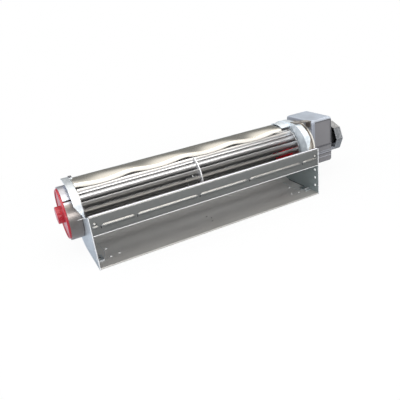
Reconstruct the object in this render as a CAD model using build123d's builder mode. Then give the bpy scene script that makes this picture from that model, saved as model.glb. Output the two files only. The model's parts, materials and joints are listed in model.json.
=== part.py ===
from build123d import *
from math import asin, atan2, cos, degrees, hypot, pi, radians, sin, sqrt
import os

# Cross flow fan: a sheet-metal blower casing with a long bladed rotor inside,
# a silicone bearing mount on the left end plate and a shaded-pole motor with
# a cooling wheel on the right one. X runs along the rotor, -Y is the outlet
# side, +Z is up, and the origin is the centre of the footprint. Millimetres.

# Driving dimensions of the casing
CASING_LENGTH = 300.0      # between the inner faces of the two end plates
PLATE_T = 1.0              # end plate sheet
SHEET_T = 0.8              # scroll and tongue sheet
FLOOR_TOP = 2.0            # upper face of the floor, above the hem under it
HEM_DEPTH = 9.0            # length of the hem under the floor's front edge
FLOOR_FLAT = 55.0          # flat run of the floor before the scroll rises
OUTLET_H = 38.7            # clear height under the front strip
STRIP_H = 23.3             # front strip, lower edge to top edge
INLET_SETBACK = 34.5       # rotor behind the outlet plane
FLOOR_GAP = 16.2           # rotor to floor
REAR_GAP = 7.0             # rotor to scroll, at the rear
REAR_RISE = 2.8            # scroll's rearmost line above the rotor axis
CREST_GAP = 5.6            # rotor to scroll, at the top
CREST_ANGLE = 71.5         # where the wavy lip starts, from +Y
PLATE_MARGIN = 2.2         # end plate's edge outside the scroll
HEAD_FLAT = 15.9           # flat top between the two rounds of the plate's head
HEAD_START = 174.0         # where the front round leaves the front strip, from +Y

# Driving dimensions of the wavy lip over the rotor
LIP_REACH = 23.0           # lip's length forward of the crest
LIP_GAP = 3.6              # lip's front edge to the rotor, on average
LIP_CROWN = 0.9            # how far the lip bows up between crest and front edge
LIP_WAVE_L = 68.7          # length of one wave along the lip
LIP_WAVE_H = 1.5           # height of a wave above and below the mean
LIP_LEFT_CUT = 0.6         # lip stops short of the left end plate
LIP_RIGHT_CUT = 17.0       # lip stops short of the right end plate
LIP_STEP = 17.4            # about this far between the lip's cross-sections

# Driving dimensions of the front strip and vortex tongue
STRIP_FLANGE = 3.6         # strip's top edge, folded back
FOLD_R = 1.6               # outside radius of the folds
RIB_RISE = 9.7             # rib's centre above the strip's lower edge
RIB_W = 2.4                # rib's height on the strip
RIB_H = 0.8                # rib's depth
RIB_BREAK = 4.0            # plain length between two stretches of rib
RIB_STOPS = (0.033, 0.169, 0.425, 0.650, 0.914)
TONGUE_GAP = 3.5           # tongue to rotor
TONGUE_ANGLE = 199.0       # where the tongue meets the rotor's edge, from +Y
TONGUE_CURL = 16.0         # degrees that the tongue then follows the rotor

# Driving dimensions of the impeller
TIP_R = 31.0               # blade tips
ROOT_R = 23.5              # blade roots
BLADES = 22
BLADE_T = 0.6
BLADE_SWEEP = 14.0         # degrees from blade tip to blade root
BLADE_ARC_R = 9.0          # radius of the blade's curved section
BLADE_PHASE = 129.6        # one blade's tip at rest, from +Y
SLOT_CLEARANCE = 0.05      # around the blades in discs and ring
RING_RIM = 0.8             # disc and ring edge outside the blade tips
RING_WEB = 1.0             # ring inside the blade roots
DISC_T = 0.8
STAKE = 0.5                # blade ends standing out of the end discs
ROTOR_END_GAP = 2.0        # end disc to end plate

# Driving dimensions of shafts, bearings and small hardware
SHAFT_R = 3.0
BEARING_CLEARANCE = 0.05
FIT_GAP = 0.02             # between round faces pressed together
SEAT_GAP = 0.3             # between soft and hard faces that sit on each other
BUSH_R = 7.0
BUSH_L = 8.0
DISC_BOSS_R = 8.0
DISC_BOSS_L = 5.0
RIVET_R = 1.5
RIVET_HEAD_R = 2.4
RIVET_HEAD_H = 0.9
RIVETS = 3                 # in each end plate, round the opening

# Driving dimensions of the end plates
PLATE_HOLE_R = 24.0        # round opening for shaft and hub
FLANGE_W = 7.5             # width of the head's bent edge
FLANGE_END = 78.0          # where the bent edge stops on the rear round, from +Y
TAPER_START = 150.0        # from here to the front round's end the bent edge gets narrower
LEFT_TAB_L = 4.0           # tab over the scroll, left
RIGHT_TAB_L = 14.0         # tab over the scroll, right
TAB_START = 74.0           # tabs' sectors over the scroll, from +Y
LEFT_TAB_END = 88.0
RIGHT_TAB_END = 115.0
STRIP_TAB_L = 9.0          # tabs behind the strip and on the floor
STRIP_TAB_H = 13.0
STRIP_TAB_DROP = 3.3       # tab's top below the strip's top
FLOOR_TAB_W = 14.0
FLOOR_TAB_Y = 15.0         # floor tab behind the outlet plane
SIDE_HOLE_R = 1.75
SIDE_HOLE_Y = 6.5          # side holes behind the outlet plane
SIDE_HOLE_PITCH = 10.8
SIDE_HOLE_MID = 22.3       # middle side hole's height
SIDE_HOLES = 3
BASE_HOLE_R = 1.5
BASE_HOLE_X = 17.5         # base holes from the end plates
BASE_HOLE_PITCH = 21.3
BASE_HOLE_Y = 29.4         # middle of the base holes behind the outlet plane
INNER_HOLE_X = 28.0
INNER_HOLE_Y = 20.5

# Driving dimensions of the left bearing
BASE_STEP = 0.5            # opening of cup and carrier outside the plate's
RIVET_INSET = 2.9          # rivets outside the opening
CUP_MARGIN = 4.5           # cup's wall outside the rivets
CUP_T = 1.0
CUP_L = 15.0
CUP_ROUND = 1.6
CUP_SLITS = 3
CUP_SLIT_W = 2.2
CUP_SLIT_ANGLE = 136.0
MOUNT_STEP = 2.3           # silicone disc inside the cup's outline
MOUNT_T = 2.0
MOUNT_RIM = 2.2            # raised rim of the disc
MOUNT_DISH = 0.9           # depth of the dish inside the rim
MOUNT_BOSS_R = 10.2
MOUNT_BOSS_L = 6.0
MOUNT_ROUND = 1.0
MOUNT_SKIRT_T = 2.5
MOUNT_SKIRT_L = 9.0
MOUNT_HUB_WALL = 3.5

# Driving dimensions of the drive end
HUB_R = 13.0               # rubber drive hub
HUB_L = 14.0
HUB_FLANGE_R = 17.0
HUB_FLANGE_T = 2.0
DRIVE_HOLE_R = 8.0         # opening in the right end disc
CARRIER_GAP = 1.3          # motor carrier cup to the plate's bent edge
CARRIER_T = 1.0
CARRIER_L = 18.4
CARRIER_ROUND = 3.0
CARRIER_HOLE_R = 9.0
COLLAR_STEP = 1.4          # vibration ring inside the carrier's outline
COLLAR_T = 2.4
COLLAR_BORE_R = 14.0

# Driving dimensions of the motor and its cover
COVER_LENGTH = 34.7
COVER_WALL = 1.8
COVER_ROUND = 5.0
COVER_END_ROUND = 2.0
COVER_PART_GAP = 0.8       # groove between the cover's halves
COVER_OPENING_R = 9.0
LEDGE_STEP = 1.2           # lower half's ledge
LEDGE_DROP = 7.5           # ledge below the rotor axis
PANEL_FOOT = 2.1           # raised panel above the rotor axis
PANEL_INSET = 3.4
PANEL_STEP = 0.6
LUG_L = 6.0                # cable lug at the ledge's outer end
LUG_W = 5.0
LUG_H = 1.6
LUG_HOLE_R = 1.0
CORE_T = 15.0              # stator stack
CORE_R = 12.0              # motor's turning core
AIR_GAP = 0.4
CORE_FOOT = 7.6            # stack below its bore
CORE_EDGE = 4.0            # screws' middle to the stack's sides
SCREW_WALL = 1.4           # stack between shading loop and screw
SHADE_WALL = 1.6           # stack between bore and shading loop
SHADE_W = 2.0              # copper shading loops
SHADE_Z = 4.5
WINDOW_WALL = 2.6          # stack between bore and winding window
WINDOW_W = 26.0
WINDOW_H = 6.0
YOKE_H = 8.0               # stack above the winding window
BOBBIN_T = 1.0
COIL_H = 3.8
SIDE_ROOM = 3.2            # stack to cover wall, at the sides
FOOT_ROOM = 3.7            # stack to cover wall, below
COIL_ROOM = 2.6            # coil to cover wall, above
BRACKET_T = 1.5
BRACKET_W = 18.0
BRACKET_GAP = 0.3          # bracket to cover wall
MOTOR_BUSH_R = 5.0
MOTOR_BUSH_L = 5.0
BOSS_WALL = 1.5
SCREW_R = 1.6
SCREW_HEAD_R = 3.0
SCREW_HEAD_H = 2.0
SPACER_R = 2.5
TERMINALS = 2
TERMINAL_W = 6.3
TERMINAL_T = 0.8
TERMINAL_OUT = 8.0         # length outside the cover
TERMINAL_IN = 2.2          # length inside the cover's wall
TERMINAL_PITCH = 9.0
TERMINAL_DROP = 16.0       # terminals below the rotor axis

# Driving dimensions of the strap from the right end plate to the motor cover
STRAP_T = 1.0
STRAP_W = 10.5
STRAP_BACK = 1.5           # strap's rear edge behind the front round's top
STRAP_SLANT = 8.0          # how far the strap leans forward on its way to the cover
STRAP_DROP = 8.0           # strap's end bent down against the cover
STRAP_EDGE = 0.6           # bent end inside the strap's edges
STRAP_HOLE_R = 1.3
STRAP_RIB_W = 1.2
STRAP_RIB_H = 0.4
STRAP_RIB_SPAN = 6.4       # between the two ribs

# Driving dimensions of the cooling wheel
WHEEL_R = 22.0             # across the corners
WHEEL_SIDES = 8
WHEEL_L = 11.0
WHEEL_T = 1.0
WHEEL_GAP = 15.0           # cover to wheel
WHEEL_HUB_R = 12.0         # plastic hub inside the wheel
WHEEL_HUB_L = 8.0
WHEEL_SLIT = 0.8           # between the wheel's flaps
SHAFT_INSET = 0.3          # shaft end inside the wheel's outer face

# Places that follow from the driving dimensions
RING_R = TIP_R + RING_RIM
CUP_BASE_R = PLATE_HOLE_R + BASE_STEP
RIVET_CIRCLE_R = CUP_BASE_R + RIVET_INSET
CUP_R = RIVET_CIRCLE_R + CUP_MARGIN
LEFT_REACH = PLATE_T + CUP_L + SEAT_GAP + MOUNT_T + MOUNT_BOSS_L
COVER_START = PLATE_T + CARRIER_L + COLLAR_T
WHEEL_START = COVER_START + COVER_LENGTH + WHEEL_GAP
RIGHT_REACH = WHEEL_START + WHEEL_L
LEFT_X = -(CASING_LENGTH + RIGHT_REACH - LEFT_REACH) / 2
RIGHT_X = LEFT_X + CASING_LENGTH
PLATE_DEPTH = INLET_SETBACK + 2 * TIP_R + REAR_GAP + SHEET_T + PLATE_MARGIN
FRONT_Y = (max(RIB_H, RIVET_HEAD_H) - PLATE_DEPTH) / 2
REAR_Y = FRONT_Y + PLATE_DEPTH
AXIS_Y = FRONT_Y + INLET_SETBACK + TIP_R
AXIS_Z = FLOOR_TOP + FLOOR_GAP + TIP_R
STRIP_BOTTOM = FLOOR_TOP + OUTLET_H
STRIP_TOP = STRIP_BOTTOM + STRIP_H
BORE_R = CORE_R + AIR_GAP
SHADE_Y = BORE_R + SHADE_WALL + SHADE_W / 2
SCREW_Y = SHADE_Y + SHADE_W / 2 + SCREW_WALL + SCREW_R
SCREW_SPAN = 2 * SCREW_Y
CORE_WIDTH = 2 * (SCREW_Y + CORE_EDGE)
CORE_BELOW = BORE_R + CORE_FOOT
YOKE_Z = BORE_R + WINDOW_WALL + WINDOW_H
CORE_ABOVE = YOKE_Z + YOKE_H
COVER_WIDTH = CORE_WIDTH + 2 * (SIDE_ROOM + COVER_WALL)
COVER_BELOW = CORE_BELOW + FOOT_ROOM + COVER_WALL
COVER_ABOVE = CORE_ABOVE + SEAT_GAP + BOBBIN_T + COIL_H + COIL_ROOM + COVER_WALL
COVER_HEIGHT = COVER_BELOW + COVER_ABOVE
COVER_RISE = (COVER_ABOVE - COVER_BELOW) / 2
COVER_X = RIGHT_X + COVER_START
CORE_X = COVER_X + (COVER_LENGTH - CORE_T) / 2
WHEEL_X = RIGHT_X + WHEEL_START
RIM_INSIDE = (WHEEL_R * cos(pi / WHEEL_SIDES) - WHEEL_T) / cos(pi / WHEEL_SIDES)

PROFILE = Plane(origin=(0, 0, 0), x_dir=(0, 1, 0), z_dir=(1, 0, 0))
AXLE = Plane(origin=(0, AXIS_Y, AXIS_Z), x_dir=(0, 1, 0), z_dir=(1, 0, 0))
TURNING = Plane(origin=(0, AXIS_Y, AXIS_Z), x_dir=(1, 0, 0), z_dir=(0, -1, 0))
ROTOR_AXIS = Axis((0, AXIS_Y, AXIS_Z), (1, 0, 0))

os.makedirs("parts", exist_ok=True)


def save(builder, label):
    """Label a finished piece and write its file."""
    builder.part.label = label
    export_step(builder.part, f"parts/{label}.step")


def polar(radius, angle):
    """A point about a plane's own centre."""
    return (radius * cos(radians(angle)), radius * sin(radians(angle)))


def around_axis(radius, angle):
    """A point about the rotor axis, in the profile plane."""
    y, z = polar(radius, angle)
    return (AXIS_Y + y, AXIS_Z + z)


def sector(center, outer, inner, start, stop):
    """Lines of a curved bar about a centre, from one angle to another."""
    CenterArc(center, outer, start, stop - start)
    a, b = polar(outer, stop), polar(inner, stop)
    Line((center[0] + a[0], center[1] + a[1]), (center[0] + b[0], center[1] + b[1]))
    CenterArc(center, inner, stop, start - stop)
    a, b = polar(inner, start), polar(outer, start)
    Line((center[0] + a[0], center[1] + a[1]), (center[0] + b[0], center[1] + b[1]))


# Scroll sheet: hem, floor, the scroll behind the rotor and the wavy lip over it
hem_r = FLOOR_TOP / 2
rear = (AXIS_Y + TIP_R + REAR_GAP, AXIS_Z + REAR_RISE)
crest = around_axis(TIP_R + CREST_GAP, CREST_ANGLE)
lip_y = crest[0] - LIP_REACH
lip_r = TIP_R + LIP_GAP
lip_z = AXIS_Z + sqrt(lip_r**2 - (lip_y - AXIS_Y) ** 2)
lip_length = CASING_LENGTH - LIP_LEFT_CUT - LIP_RIGHT_CUT
lip_steps = round(lip_length / LIP_STEP)
with BuildPart() as scroll_sheet:
    with BuildSketch(PROFILE.offset(LEFT_X)):
        with BuildLine():
            Line((FRONT_Y + HEM_DEPTH, 0), (FRONT_Y + hem_r, 0))
            ThreePointArc((FRONT_Y + hem_r, 0), (FRONT_Y, hem_r), (FRONT_Y + hem_r, FLOOR_TOP))
            Line((FRONT_Y + hem_r, FLOOR_TOP), (FRONT_Y + FLOOR_FLAT, FLOOR_TOP))
            TangentArc((FRONT_Y + FLOOR_FLAT, FLOOR_TOP), rear, tangent=(1, 0))
            over = TangentArc(rear, crest, tangent=(0, 1))
            offset(amount=SHEET_T, side=Side.LEFT)
        make_face()
    extrude(amount=CASING_LENGTH)

    over_center = (over.arc_center.X, over.arc_center.Y)
    over_r = over.radius
    crest_angle = degrees(asin((crest[1] - over_center[1]) / over_r))
    crest_out = (over_center[0] + (over_r + SHEET_T) * cos(radians(crest_angle)),
                 over_center[1] + (over_r + SHEET_T) * sin(radians(crest_angle)))
    middle_y = (crest[0] + lip_y) / 2
    for i in range(lip_steps + 1):
        lip_x = LIP_LEFT_CUT + lip_length * i / lip_steps
        wave = LIP_WAVE_H * cos(2 * pi * lip_x / LIP_WAVE_L)
        front = (lip_y, lip_z + wave)
        middle = (middle_y, (crest[1] + front[1]) / 2 + LIP_CROWN)
        with BuildSketch(PROFILE.offset(LEFT_X + lip_x)):
            with BuildLine():
                ThreePointArc(crest, middle, front)
                Line(front, (front[0], front[1] + SHEET_T))
                ThreePointArc((front[0], front[1] + SHEET_T), (middle[0], middle[1] + SHEET_T), crest_out)
                Line(crest_out, crest)
            make_face()
    loft()

    with BuildSketch(Plane.XY):
        with Locations((LEFT_X + CASING_LENGTH / 2, FRONT_Y + BASE_HOLE_Y)):
            with GridLocations(CASING_LENGTH - 2 * BASE_HOLE_X, BASE_HOLE_PITCH, 2, 2):
                Circle(BASE_HOLE_R)
        with Locations((LEFT_X + CASING_LENGTH / 2, FRONT_Y + INNER_HOLE_Y)):
            with GridLocations(CASING_LENGTH - 2 * INNER_HOLE_X, 0, 2, 1):
                Circle(BASE_HOLE_R)
        with Locations((LEFT_X + CASING_LENGTH / 2, FRONT_Y + FLOOR_TAB_Y + FLOOR_TAB_W / 2)):
            with GridLocations(CASING_LENGTH - STRIP_TAB_L, 0, 2, 1):
                Circle(RIVET_R + FIT_GAP)
    extrude(amount=FLOOR_TOP, mode=Mode.SUBTRACT)
save(scroll_sheet, "scroll_sheet")

# Front strip and vortex tongue, one folded sheet
tongue_r = TIP_R + TONGUE_GAP
tongue_start = around_axis(tongue_r, TONGUE_ANGLE)
strip_rivet_z = STRIP_TOP - STRIP_TAB_DROP - STRIP_TAB_H / 2
rib_z = STRIP_BOTTOM + RIB_RISE
with BuildPart() as vortex_tongue:
    with BuildSketch(PROFILE.offset(LEFT_X)):
        with BuildLine():
            Line((FRONT_Y + STRIP_FLANGE, STRIP_TOP), (FRONT_Y + FOLD_R, STRIP_TOP))
            RadiusArc((FRONT_Y + FOLD_R, STRIP_TOP), (FRONT_Y, STRIP_TOP - FOLD_R), -FOLD_R)
            Line((FRONT_Y, STRIP_TOP - FOLD_R), (FRONT_Y, STRIP_BOTTOM + FOLD_R))
            TangentArc((FRONT_Y, STRIP_BOTTOM + FOLD_R), (FRONT_Y + FOLD_R, STRIP_BOTTOM), tangent=(0, -1))
            Line((FRONT_Y + FOLD_R, STRIP_BOTTOM), tongue_start)
            CenterArc((AXIS_Y, AXIS_Z), tongue_r, TONGUE_ANGLE, -TONGUE_CURL)
            offset(amount=SHEET_T, side=Side.LEFT)
        make_face()
    extrude(amount=CASING_LENGTH)
    with BuildSketch(Plane.XZ.offset(-FRONT_Y)):
        stops = [0.0, *RIB_STOPS, 1.0]
        for low, high in zip(stops, stops[1:]):
            length = CASING_LENGTH * (high - low) - RIB_BREAK
            with Locations((LEFT_X + CASING_LENGTH * (low + high) / 2, rib_z)):
                SlotOverall(length, RIB_W)
    extrude(amount=RIB_H)
    with BuildSketch(Plane.XZ.offset(-FRONT_Y)):
        with Locations((LEFT_X + CASING_LENGTH / 2, strip_rivet_z)):
            with GridLocations(CASING_LENGTH - STRIP_TAB_L, 0, 2, 1):
                Circle(RIVET_R + FIT_GAP)
    extrude(amount=-SHEET_T, mode=Mode.SUBTRACT)
save(vortex_tongue, "vortex_tongue")


# End plates: flat sheet with a head of two rounds and a flat top, the head's edge
# bent outward, and tabs bent inward over the scroll, behind the strip and on the floor
plate_r = over_r + SHEET_T + PLATE_MARGIN
head_top = over_center[1] + plate_r
arch_center = (over_center[0] - HEAD_FLAT, over_center[1])
tab_r = over_r + SHEET_T + SEAT_GAP
tab_y = FRONT_Y + FLOOR_TAB_Y + FLOOR_TAB_W / 2


def on_arch(angle, radius=plate_r):
    """A point on the front round of the plate's head."""
    y, z = polar(radius, angle)
    return (arch_center[0] + y, arch_center[1] + z)


def bent_edge():
    """Section of the head's bent edge: rear round, flat top and front round."""
    inner = plate_r - PLATE_T
    with BuildSketch() as section:
        with BuildLine():
            sector(over_center, plate_r, inner, FLANGE_END, 90)
        make_face()
        with BuildLine():
            sector(arch_center, plate_r, inner, 90, HEAD_START)
        make_face()
        with Locations(((arch_center[0] + over_center[0]) / 2, head_top - PLATE_T / 2)):
            Rectangle(HEAD_FLAT, PLATE_T)
    return section.sketch


edge_section = bent_edge()
arch_end = on_arch(HEAD_START)
taper_start = on_arch(TAPER_START)
for side, x, outward, tab_l, tab_end in (("left", LEFT_X, -1, LEFT_TAB_L, LEFT_TAB_END),
                                         ("right", RIGHT_X, 1, RIGHT_TAB_L, RIGHT_TAB_END)):
    with BuildPart() as end_plate:
        with BuildSketch(PROFILE.offset(x)):
            with BuildLine():
                Line((FRONT_Y, STRIP_TOP), (FRONT_Y, 0))
                Line((FRONT_Y, 0), (FRONT_Y + FLOOR_FLAT, 0))
                TangentArc((FRONT_Y + FLOOR_FLAT, 0), (REAR_Y, rear[1]), tangent=(1, 0))
                CenterArc(over_center, plate_r, 0, 90)
                Line((over_center[0], head_top), (arch_center[0], head_top))
                CenterArc(arch_center, plate_r, 90, HEAD_START - 90)
                Line(arch_end, (FRONT_Y, STRIP_TOP))
            make_face()
            with Locations((AXIS_Y, AXIS_Z)):
                Circle(PLATE_HOLE_R, mode=Mode.SUBTRACT)
                with PolarLocations(RIVET_CIRCLE_R, RIVETS, start_angle=90):
                    Circle(RIVET_R + FIT_GAP, mode=Mode.SUBTRACT)
            with Locations((FRONT_Y + SIDE_HOLE_Y, SIDE_HOLE_MID)):
                with GridLocations(0, SIDE_HOLE_PITCH, 1, SIDE_HOLES):
                    Circle(SIDE_HOLE_R, mode=Mode.SUBTRACT)
        extrude(amount=outward * PLATE_T)

        with BuildSketch(PROFILE.offset(x)):
            add(edge_section)
        extrude(amount=outward * (PLATE_T + FLANGE_W))
        full_w = x + outward * (PLATE_T + FLANGE_W)
        with BuildSketch(Plane.XZ.offset(-arch_end[0])):
            with BuildLine():
                Polyline((x + outward * PLATE_T, arch_end[1]), (full_w, arch_end[1]),
                         (full_w, taper_start[1]),
                         (x + outward * PLATE_T, arch_end[1]))
            make_face()
        extrude(amount=plate_r / 2, both=True, mode=Mode.SUBTRACT)

        with BuildSketch(PROFILE.offset(x)):
            with BuildLine():
                sector(over_center, tab_r + PLATE_T, tab_r, TAB_START, tab_end)
            make_face()
        extrude(amount=-outward * tab_l)

        with BuildSketch(PROFILE.offset(x)):
            with Locations((FRONT_Y + SHEET_T + PLATE_T / 2, strip_rivet_z)):
                Rectangle(PLATE_T, STRIP_TAB_H)
            with Locations((tab_y, FLOOR_TOP + PLATE_T / 2)):
                Rectangle(FLOOR_TAB_W, PLATE_T)
        extrude(amount=-outward * STRIP_TAB_L)

        with BuildSketch(Plane.XY):
            with Locations((x - outward * STRIP_TAB_L / 2, tab_y)):
                Circle(RIVET_R + FIT_GAP)
        extrude(amount=FLOOR_TOP + PLATE_T, mode=Mode.SUBTRACT)
        with BuildSketch(Plane.XZ.offset(-FRONT_Y)):
            with Locations((x - outward * STRIP_TAB_L / 2, strip_rivet_z)):
                Circle(RIVET_R + FIT_GAP)
        extrude(amount=-(SHEET_T + PLATE_T), mode=Mode.SUBTRACT)
    save(end_plate, f"{side}_end_plate")


def rivet(sheets):
    """A rivet along Z: shank through the sheets above z = 0, a domed head on each side."""
    with BuildPart() as pin:
        with BuildSketch(Plane.XZ):
            with BuildLine():
                Line((0, -RIVET_HEAD_H), (0, sheets + RIVET_HEAD_H))
                TangentArc((0, sheets + RIVET_HEAD_H), (RIVET_HEAD_R, sheets), tangent=(1, 0))
                Polyline((RIVET_HEAD_R, sheets), (RIVET_R, sheets), (RIVET_R, 0), (RIVET_HEAD_R, 0))
                TangentArc((0, -RIVET_HEAD_H), (RIVET_HEAD_R, 0), tangent=(1, 0))
            make_face()
        revolve(axis=Axis.Z)
    return pin.part


# Rivets that hold the strip and the floor to the tabs of the end plates
tab_rivet = rivet(SHEET_T + PLATE_T)
with BuildPart() as sheet_rivets:
    with Locations((LEFT_X + CASING_LENGTH / 2, tab_y, FLOOR_TOP - SHEET_T)):
        with GridLocations(CASING_LENGTH - STRIP_TAB_L, 0, 2, 1):
            add(tab_rivet)
    with Locations(Plane.XZ.offset(-FRONT_Y - SHEET_T - PLATE_T)):
        with Locations((LEFT_X + CASING_LENGTH / 2, strip_rivet_z)):
            with GridLocations(CASING_LENGTH - STRIP_TAB_L, 0, 2, 1):
                add(tab_rivet)
save(sheet_rivets, "sheet_rivets")


def ring(x, length, outer, inner):
    """A plain sleeve or ring about the rotor axis."""
    with BuildPart() as sleeve:
        with BuildSketch(AXLE.offset(x)):
            Circle(outer)
            Circle(inner, mode=Mode.SUBTRACT)
        extrude(amount=length)
    return sleeve.part


# Left bearing: drawn cup with a slit wall on the left end plate
cup_x = LEFT_X - PLATE_T
cup_end = cup_x - CUP_L
with BuildPart() as bearing_cup:
    with BuildSketch(TURNING):
        with BuildLine():
            Line((cup_x, CUP_BASE_R), (cup_x, CUP_R - CUP_ROUND))
            TangentArc((cup_x, CUP_R - CUP_ROUND), (cup_x - CUP_ROUND, CUP_R), tangent=(0, 1))
            Polyline((cup_x - CUP_ROUND, CUP_R), (cup_end, CUP_R), (cup_end, CUP_R - CUP_T),
                     (cup_x - CUP_ROUND, CUP_R - CUP_T))
            TangentArc((cup_x - CUP_ROUND, CUP_R - CUP_T), (cup_x - CUP_T, CUP_R - CUP_ROUND),
                       tangent=(1, 0))
            Polyline((cup_x - CUP_T, CUP_R - CUP_ROUND), (cup_x - CUP_T, CUP_BASE_R), (cup_x, CUP_BASE_R))
        make_face()
    revolve(axis=ROTOR_AXIS)
    with BuildSketch(AXLE.offset(cup_x - CUP_ROUND - CUP_T)):
        with PolarLocations(CUP_R, CUP_SLITS, start_angle=CUP_SLIT_ANGLE):
            Rectangle(3 * CUP_T, CUP_SLIT_W)
    extrude(amount=-CUP_L, mode=Mode.SUBTRACT)
    with BuildSketch(AXLE.offset(cup_x)):
        with PolarLocations(RIVET_CIRCLE_R, RIVETS, start_angle=90):
            Circle(RIVET_R + FIT_GAP)
    extrude(amount=-CUP_T, mode=Mode.SUBTRACT)
save(bearing_cup, "bearing_cup")

# Silicone mount: dished disc against the cup, skirt inside it, boss and bush pocket
mount_x = cup_end - SEAT_GAP
mount_r = CUP_R - MOUNT_STEP
mount_out = mount_x - MOUNT_T
boss_out = mount_out - MOUNT_BOSS_L
mount_hub_r = BUSH_R + MOUNT_HUB_WALL
skirt_r = CUP_R - CUP_T - SEAT_GAP
skirt_end = mount_x + MOUNT_SKIRT_L
bush_x = skirt_end - BUSH_L
with BuildPart() as bearing_mount:
    with BuildSketch(TURNING):
        with BuildLine():
            Line((boss_out, 0), (boss_out, MOUNT_BOSS_R - MOUNT_ROUND))
            TangentArc((boss_out, MOUNT_BOSS_R - MOUNT_ROUND), (boss_out + MOUNT_ROUND, MOUNT_BOSS_R),
                       tangent=(0, 1))
            Polyline((boss_out + MOUNT_ROUND, MOUNT_BOSS_R), (mount_out + MOUNT_DISH, MOUNT_BOSS_R),
                     (mount_out + MOUNT_DISH, mount_r - MOUNT_RIM), (mount_out, mount_r - MOUNT_RIM),
                     (mount_out, mount_r - MOUNT_ROUND))
            TangentArc((mount_out, mount_r - MOUNT_ROUND), (mount_out + MOUNT_ROUND, mount_r),
                       tangent=(0, 1))
            Polyline((mount_out + MOUNT_ROUND, mount_r), (mount_x, mount_r), (mount_x, skirt_r),
                     (skirt_end, skirt_r), (skirt_end, skirt_r - MOUNT_SKIRT_T),
                     (mount_x, skirt_r - MOUNT_SKIRT_T), (mount_x, mount_hub_r), (skirt_end, mount_hub_r),
                     (skirt_end, BUSH_R + FIT_GAP), (bush_x, BUSH_R + FIT_GAP), (bush_x, 0), (boss_out, 0))
        make_face()
    revolve(axis=ROTOR_AXIS)
save(bearing_mount, "bearing_mount")

with BuildPart() as bearing_bush:
    add(ring(bush_x, BUSH_L, BUSH_R, SHAFT_R + BEARING_CLEARANCE))
save(bearing_bush, "bearing_bush")

cup_rivet = rivet(CUP_T + PLATE_T)
with BuildPart() as cup_rivets:
    with Locations(AXLE.offset(cup_x - CUP_T)):
        with PolarLocations(RIVET_CIRCLE_R, RIVETS, start_angle=90):
            add(cup_rivet)
save(cup_rivets, "cup_rivets")

# Drive end: drawn carrier on the right end plate, vibration ring against the motor
carrier_x = RIGHT_X + PLATE_T
carrier_end = carrier_x + CARRIER_L
carrier_r = head_top - PLATE_T - CARRIER_GAP - AXIS_Z
round_x = carrier_end - CARRIER_ROUND
round_r = carrier_r - CARRIER_ROUND
with BuildPart() as motor_carrier:
    with BuildSketch(TURNING):
        with BuildLine():
            Polyline((carrier_x, CUP_BASE_R), (carrier_x, carrier_r), (round_x, carrier_r))
            TangentArc((round_x, carrier_r), (carrier_end, round_r), tangent=(1, 0))
            Polyline((carrier_end, round_r), (carrier_end, CARRIER_HOLE_R),
                     (carrier_end - CARRIER_T, CARRIER_HOLE_R), (carrier_end - CARRIER_T, round_r))
            TangentArc((carrier_end - CARRIER_T, round_r), (round_x, carrier_r - CARRIER_T), tangent=(0, 1))
            Polyline((round_x, carrier_r - CARRIER_T), (carrier_x + CARRIER_T, carrier_r - CARRIER_T),
                     (carrier_x + CARRIER_T, CUP_BASE_R), (carrier_x, CUP_BASE_R))
        make_face()
    revolve(axis=ROTOR_AXIS)
    with BuildSketch(AXLE.offset(carrier_x)):
        with PolarLocations(RIVET_CIRCLE_R, RIVETS, start_angle=90):
            Circle(RIVET_R + FIT_GAP)
    extrude(amount=CARRIER_T, mode=Mode.SUBTRACT)
    with BuildSketch(AXLE.offset(carrier_end)):
        with GridLocations(SCREW_SPAN, 0, 2, 1):
            Circle(SCREW_R + FIT_GAP)
    extrude(amount=-CARRIER_T, mode=Mode.SUBTRACT)
save(motor_carrier, "motor_carrier")

carrier_rivet = rivet(PLATE_T + CARRIER_T)
with BuildPart() as carrier_rivets:
    with Locations(AXLE.offset(RIGHT_X)):
        with PolarLocations(RIVET_CIRCLE_R, RIVETS, start_angle=90):
            add(carrier_rivet)
save(carrier_rivets, "carrier_rivets")

with BuildPart() as vibration_ring:
    add(ring(carrier_end, COLLAR_T, carrier_r - COLLAR_STEP, COLLAR_BORE_R))
    with BuildSketch(AXLE.offset(carrier_end)):
        with GridLocations(SCREW_SPAN, 0, 2, 1):
            Circle(SCREW_R + FIT_GAP)
    extrude(amount=COLLAR_T, mode=Mode.SUBTRACT)
save(vibration_ring, "vibration_ring")

# Motor cover: a hollow rounded box in two halves that meet at the rotor axis
cover_end = COVER_X + COVER_LENGTH
cover_mid = COVER_X + COVER_LENGTH / 2
cover_front = AXIS_Y - COVER_WIDTH / 2
cover_back = AXIS_Y + COVER_WIDTH / 2
with BuildPart() as cover_box:
    with BuildSketch(AXLE.offset(COVER_X)):
        with Locations((0, COVER_RISE)):
            RectangleRounded(COVER_WIDTH, COVER_HEIGHT, COVER_ROUND)
    extrude(amount=COVER_LENGTH)
    fillet(cover_box.faces().filter_by(Axis.X).edges(), COVER_END_ROUND)
    with BuildSketch(AXLE.offset(COVER_X + COVER_WALL)):
        with Locations((0, COVER_RISE)):
            RectangleRounded(COVER_WIDTH - 2 * COVER_WALL, COVER_HEIGHT - 2 * COVER_WALL,
                             COVER_ROUND - COVER_WALL)
    extrude(amount=COVER_LENGTH - 2 * COVER_WALL, mode=Mode.SUBTRACT)
    with BuildSketch(AXLE.offset(COVER_X)):
        Circle(COVER_OPENING_R)
    extrude(amount=COVER_LENGTH, mode=Mode.SUBTRACT)
    with BuildSketch(AXLE.offset(COVER_X)):
        with GridLocations(SCREW_SPAN, 0, 2, 1):
            Circle(SCREW_R + FIT_GAP)
    extrude(amount=COVER_WALL, mode=Mode.SUBTRACT)

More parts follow.
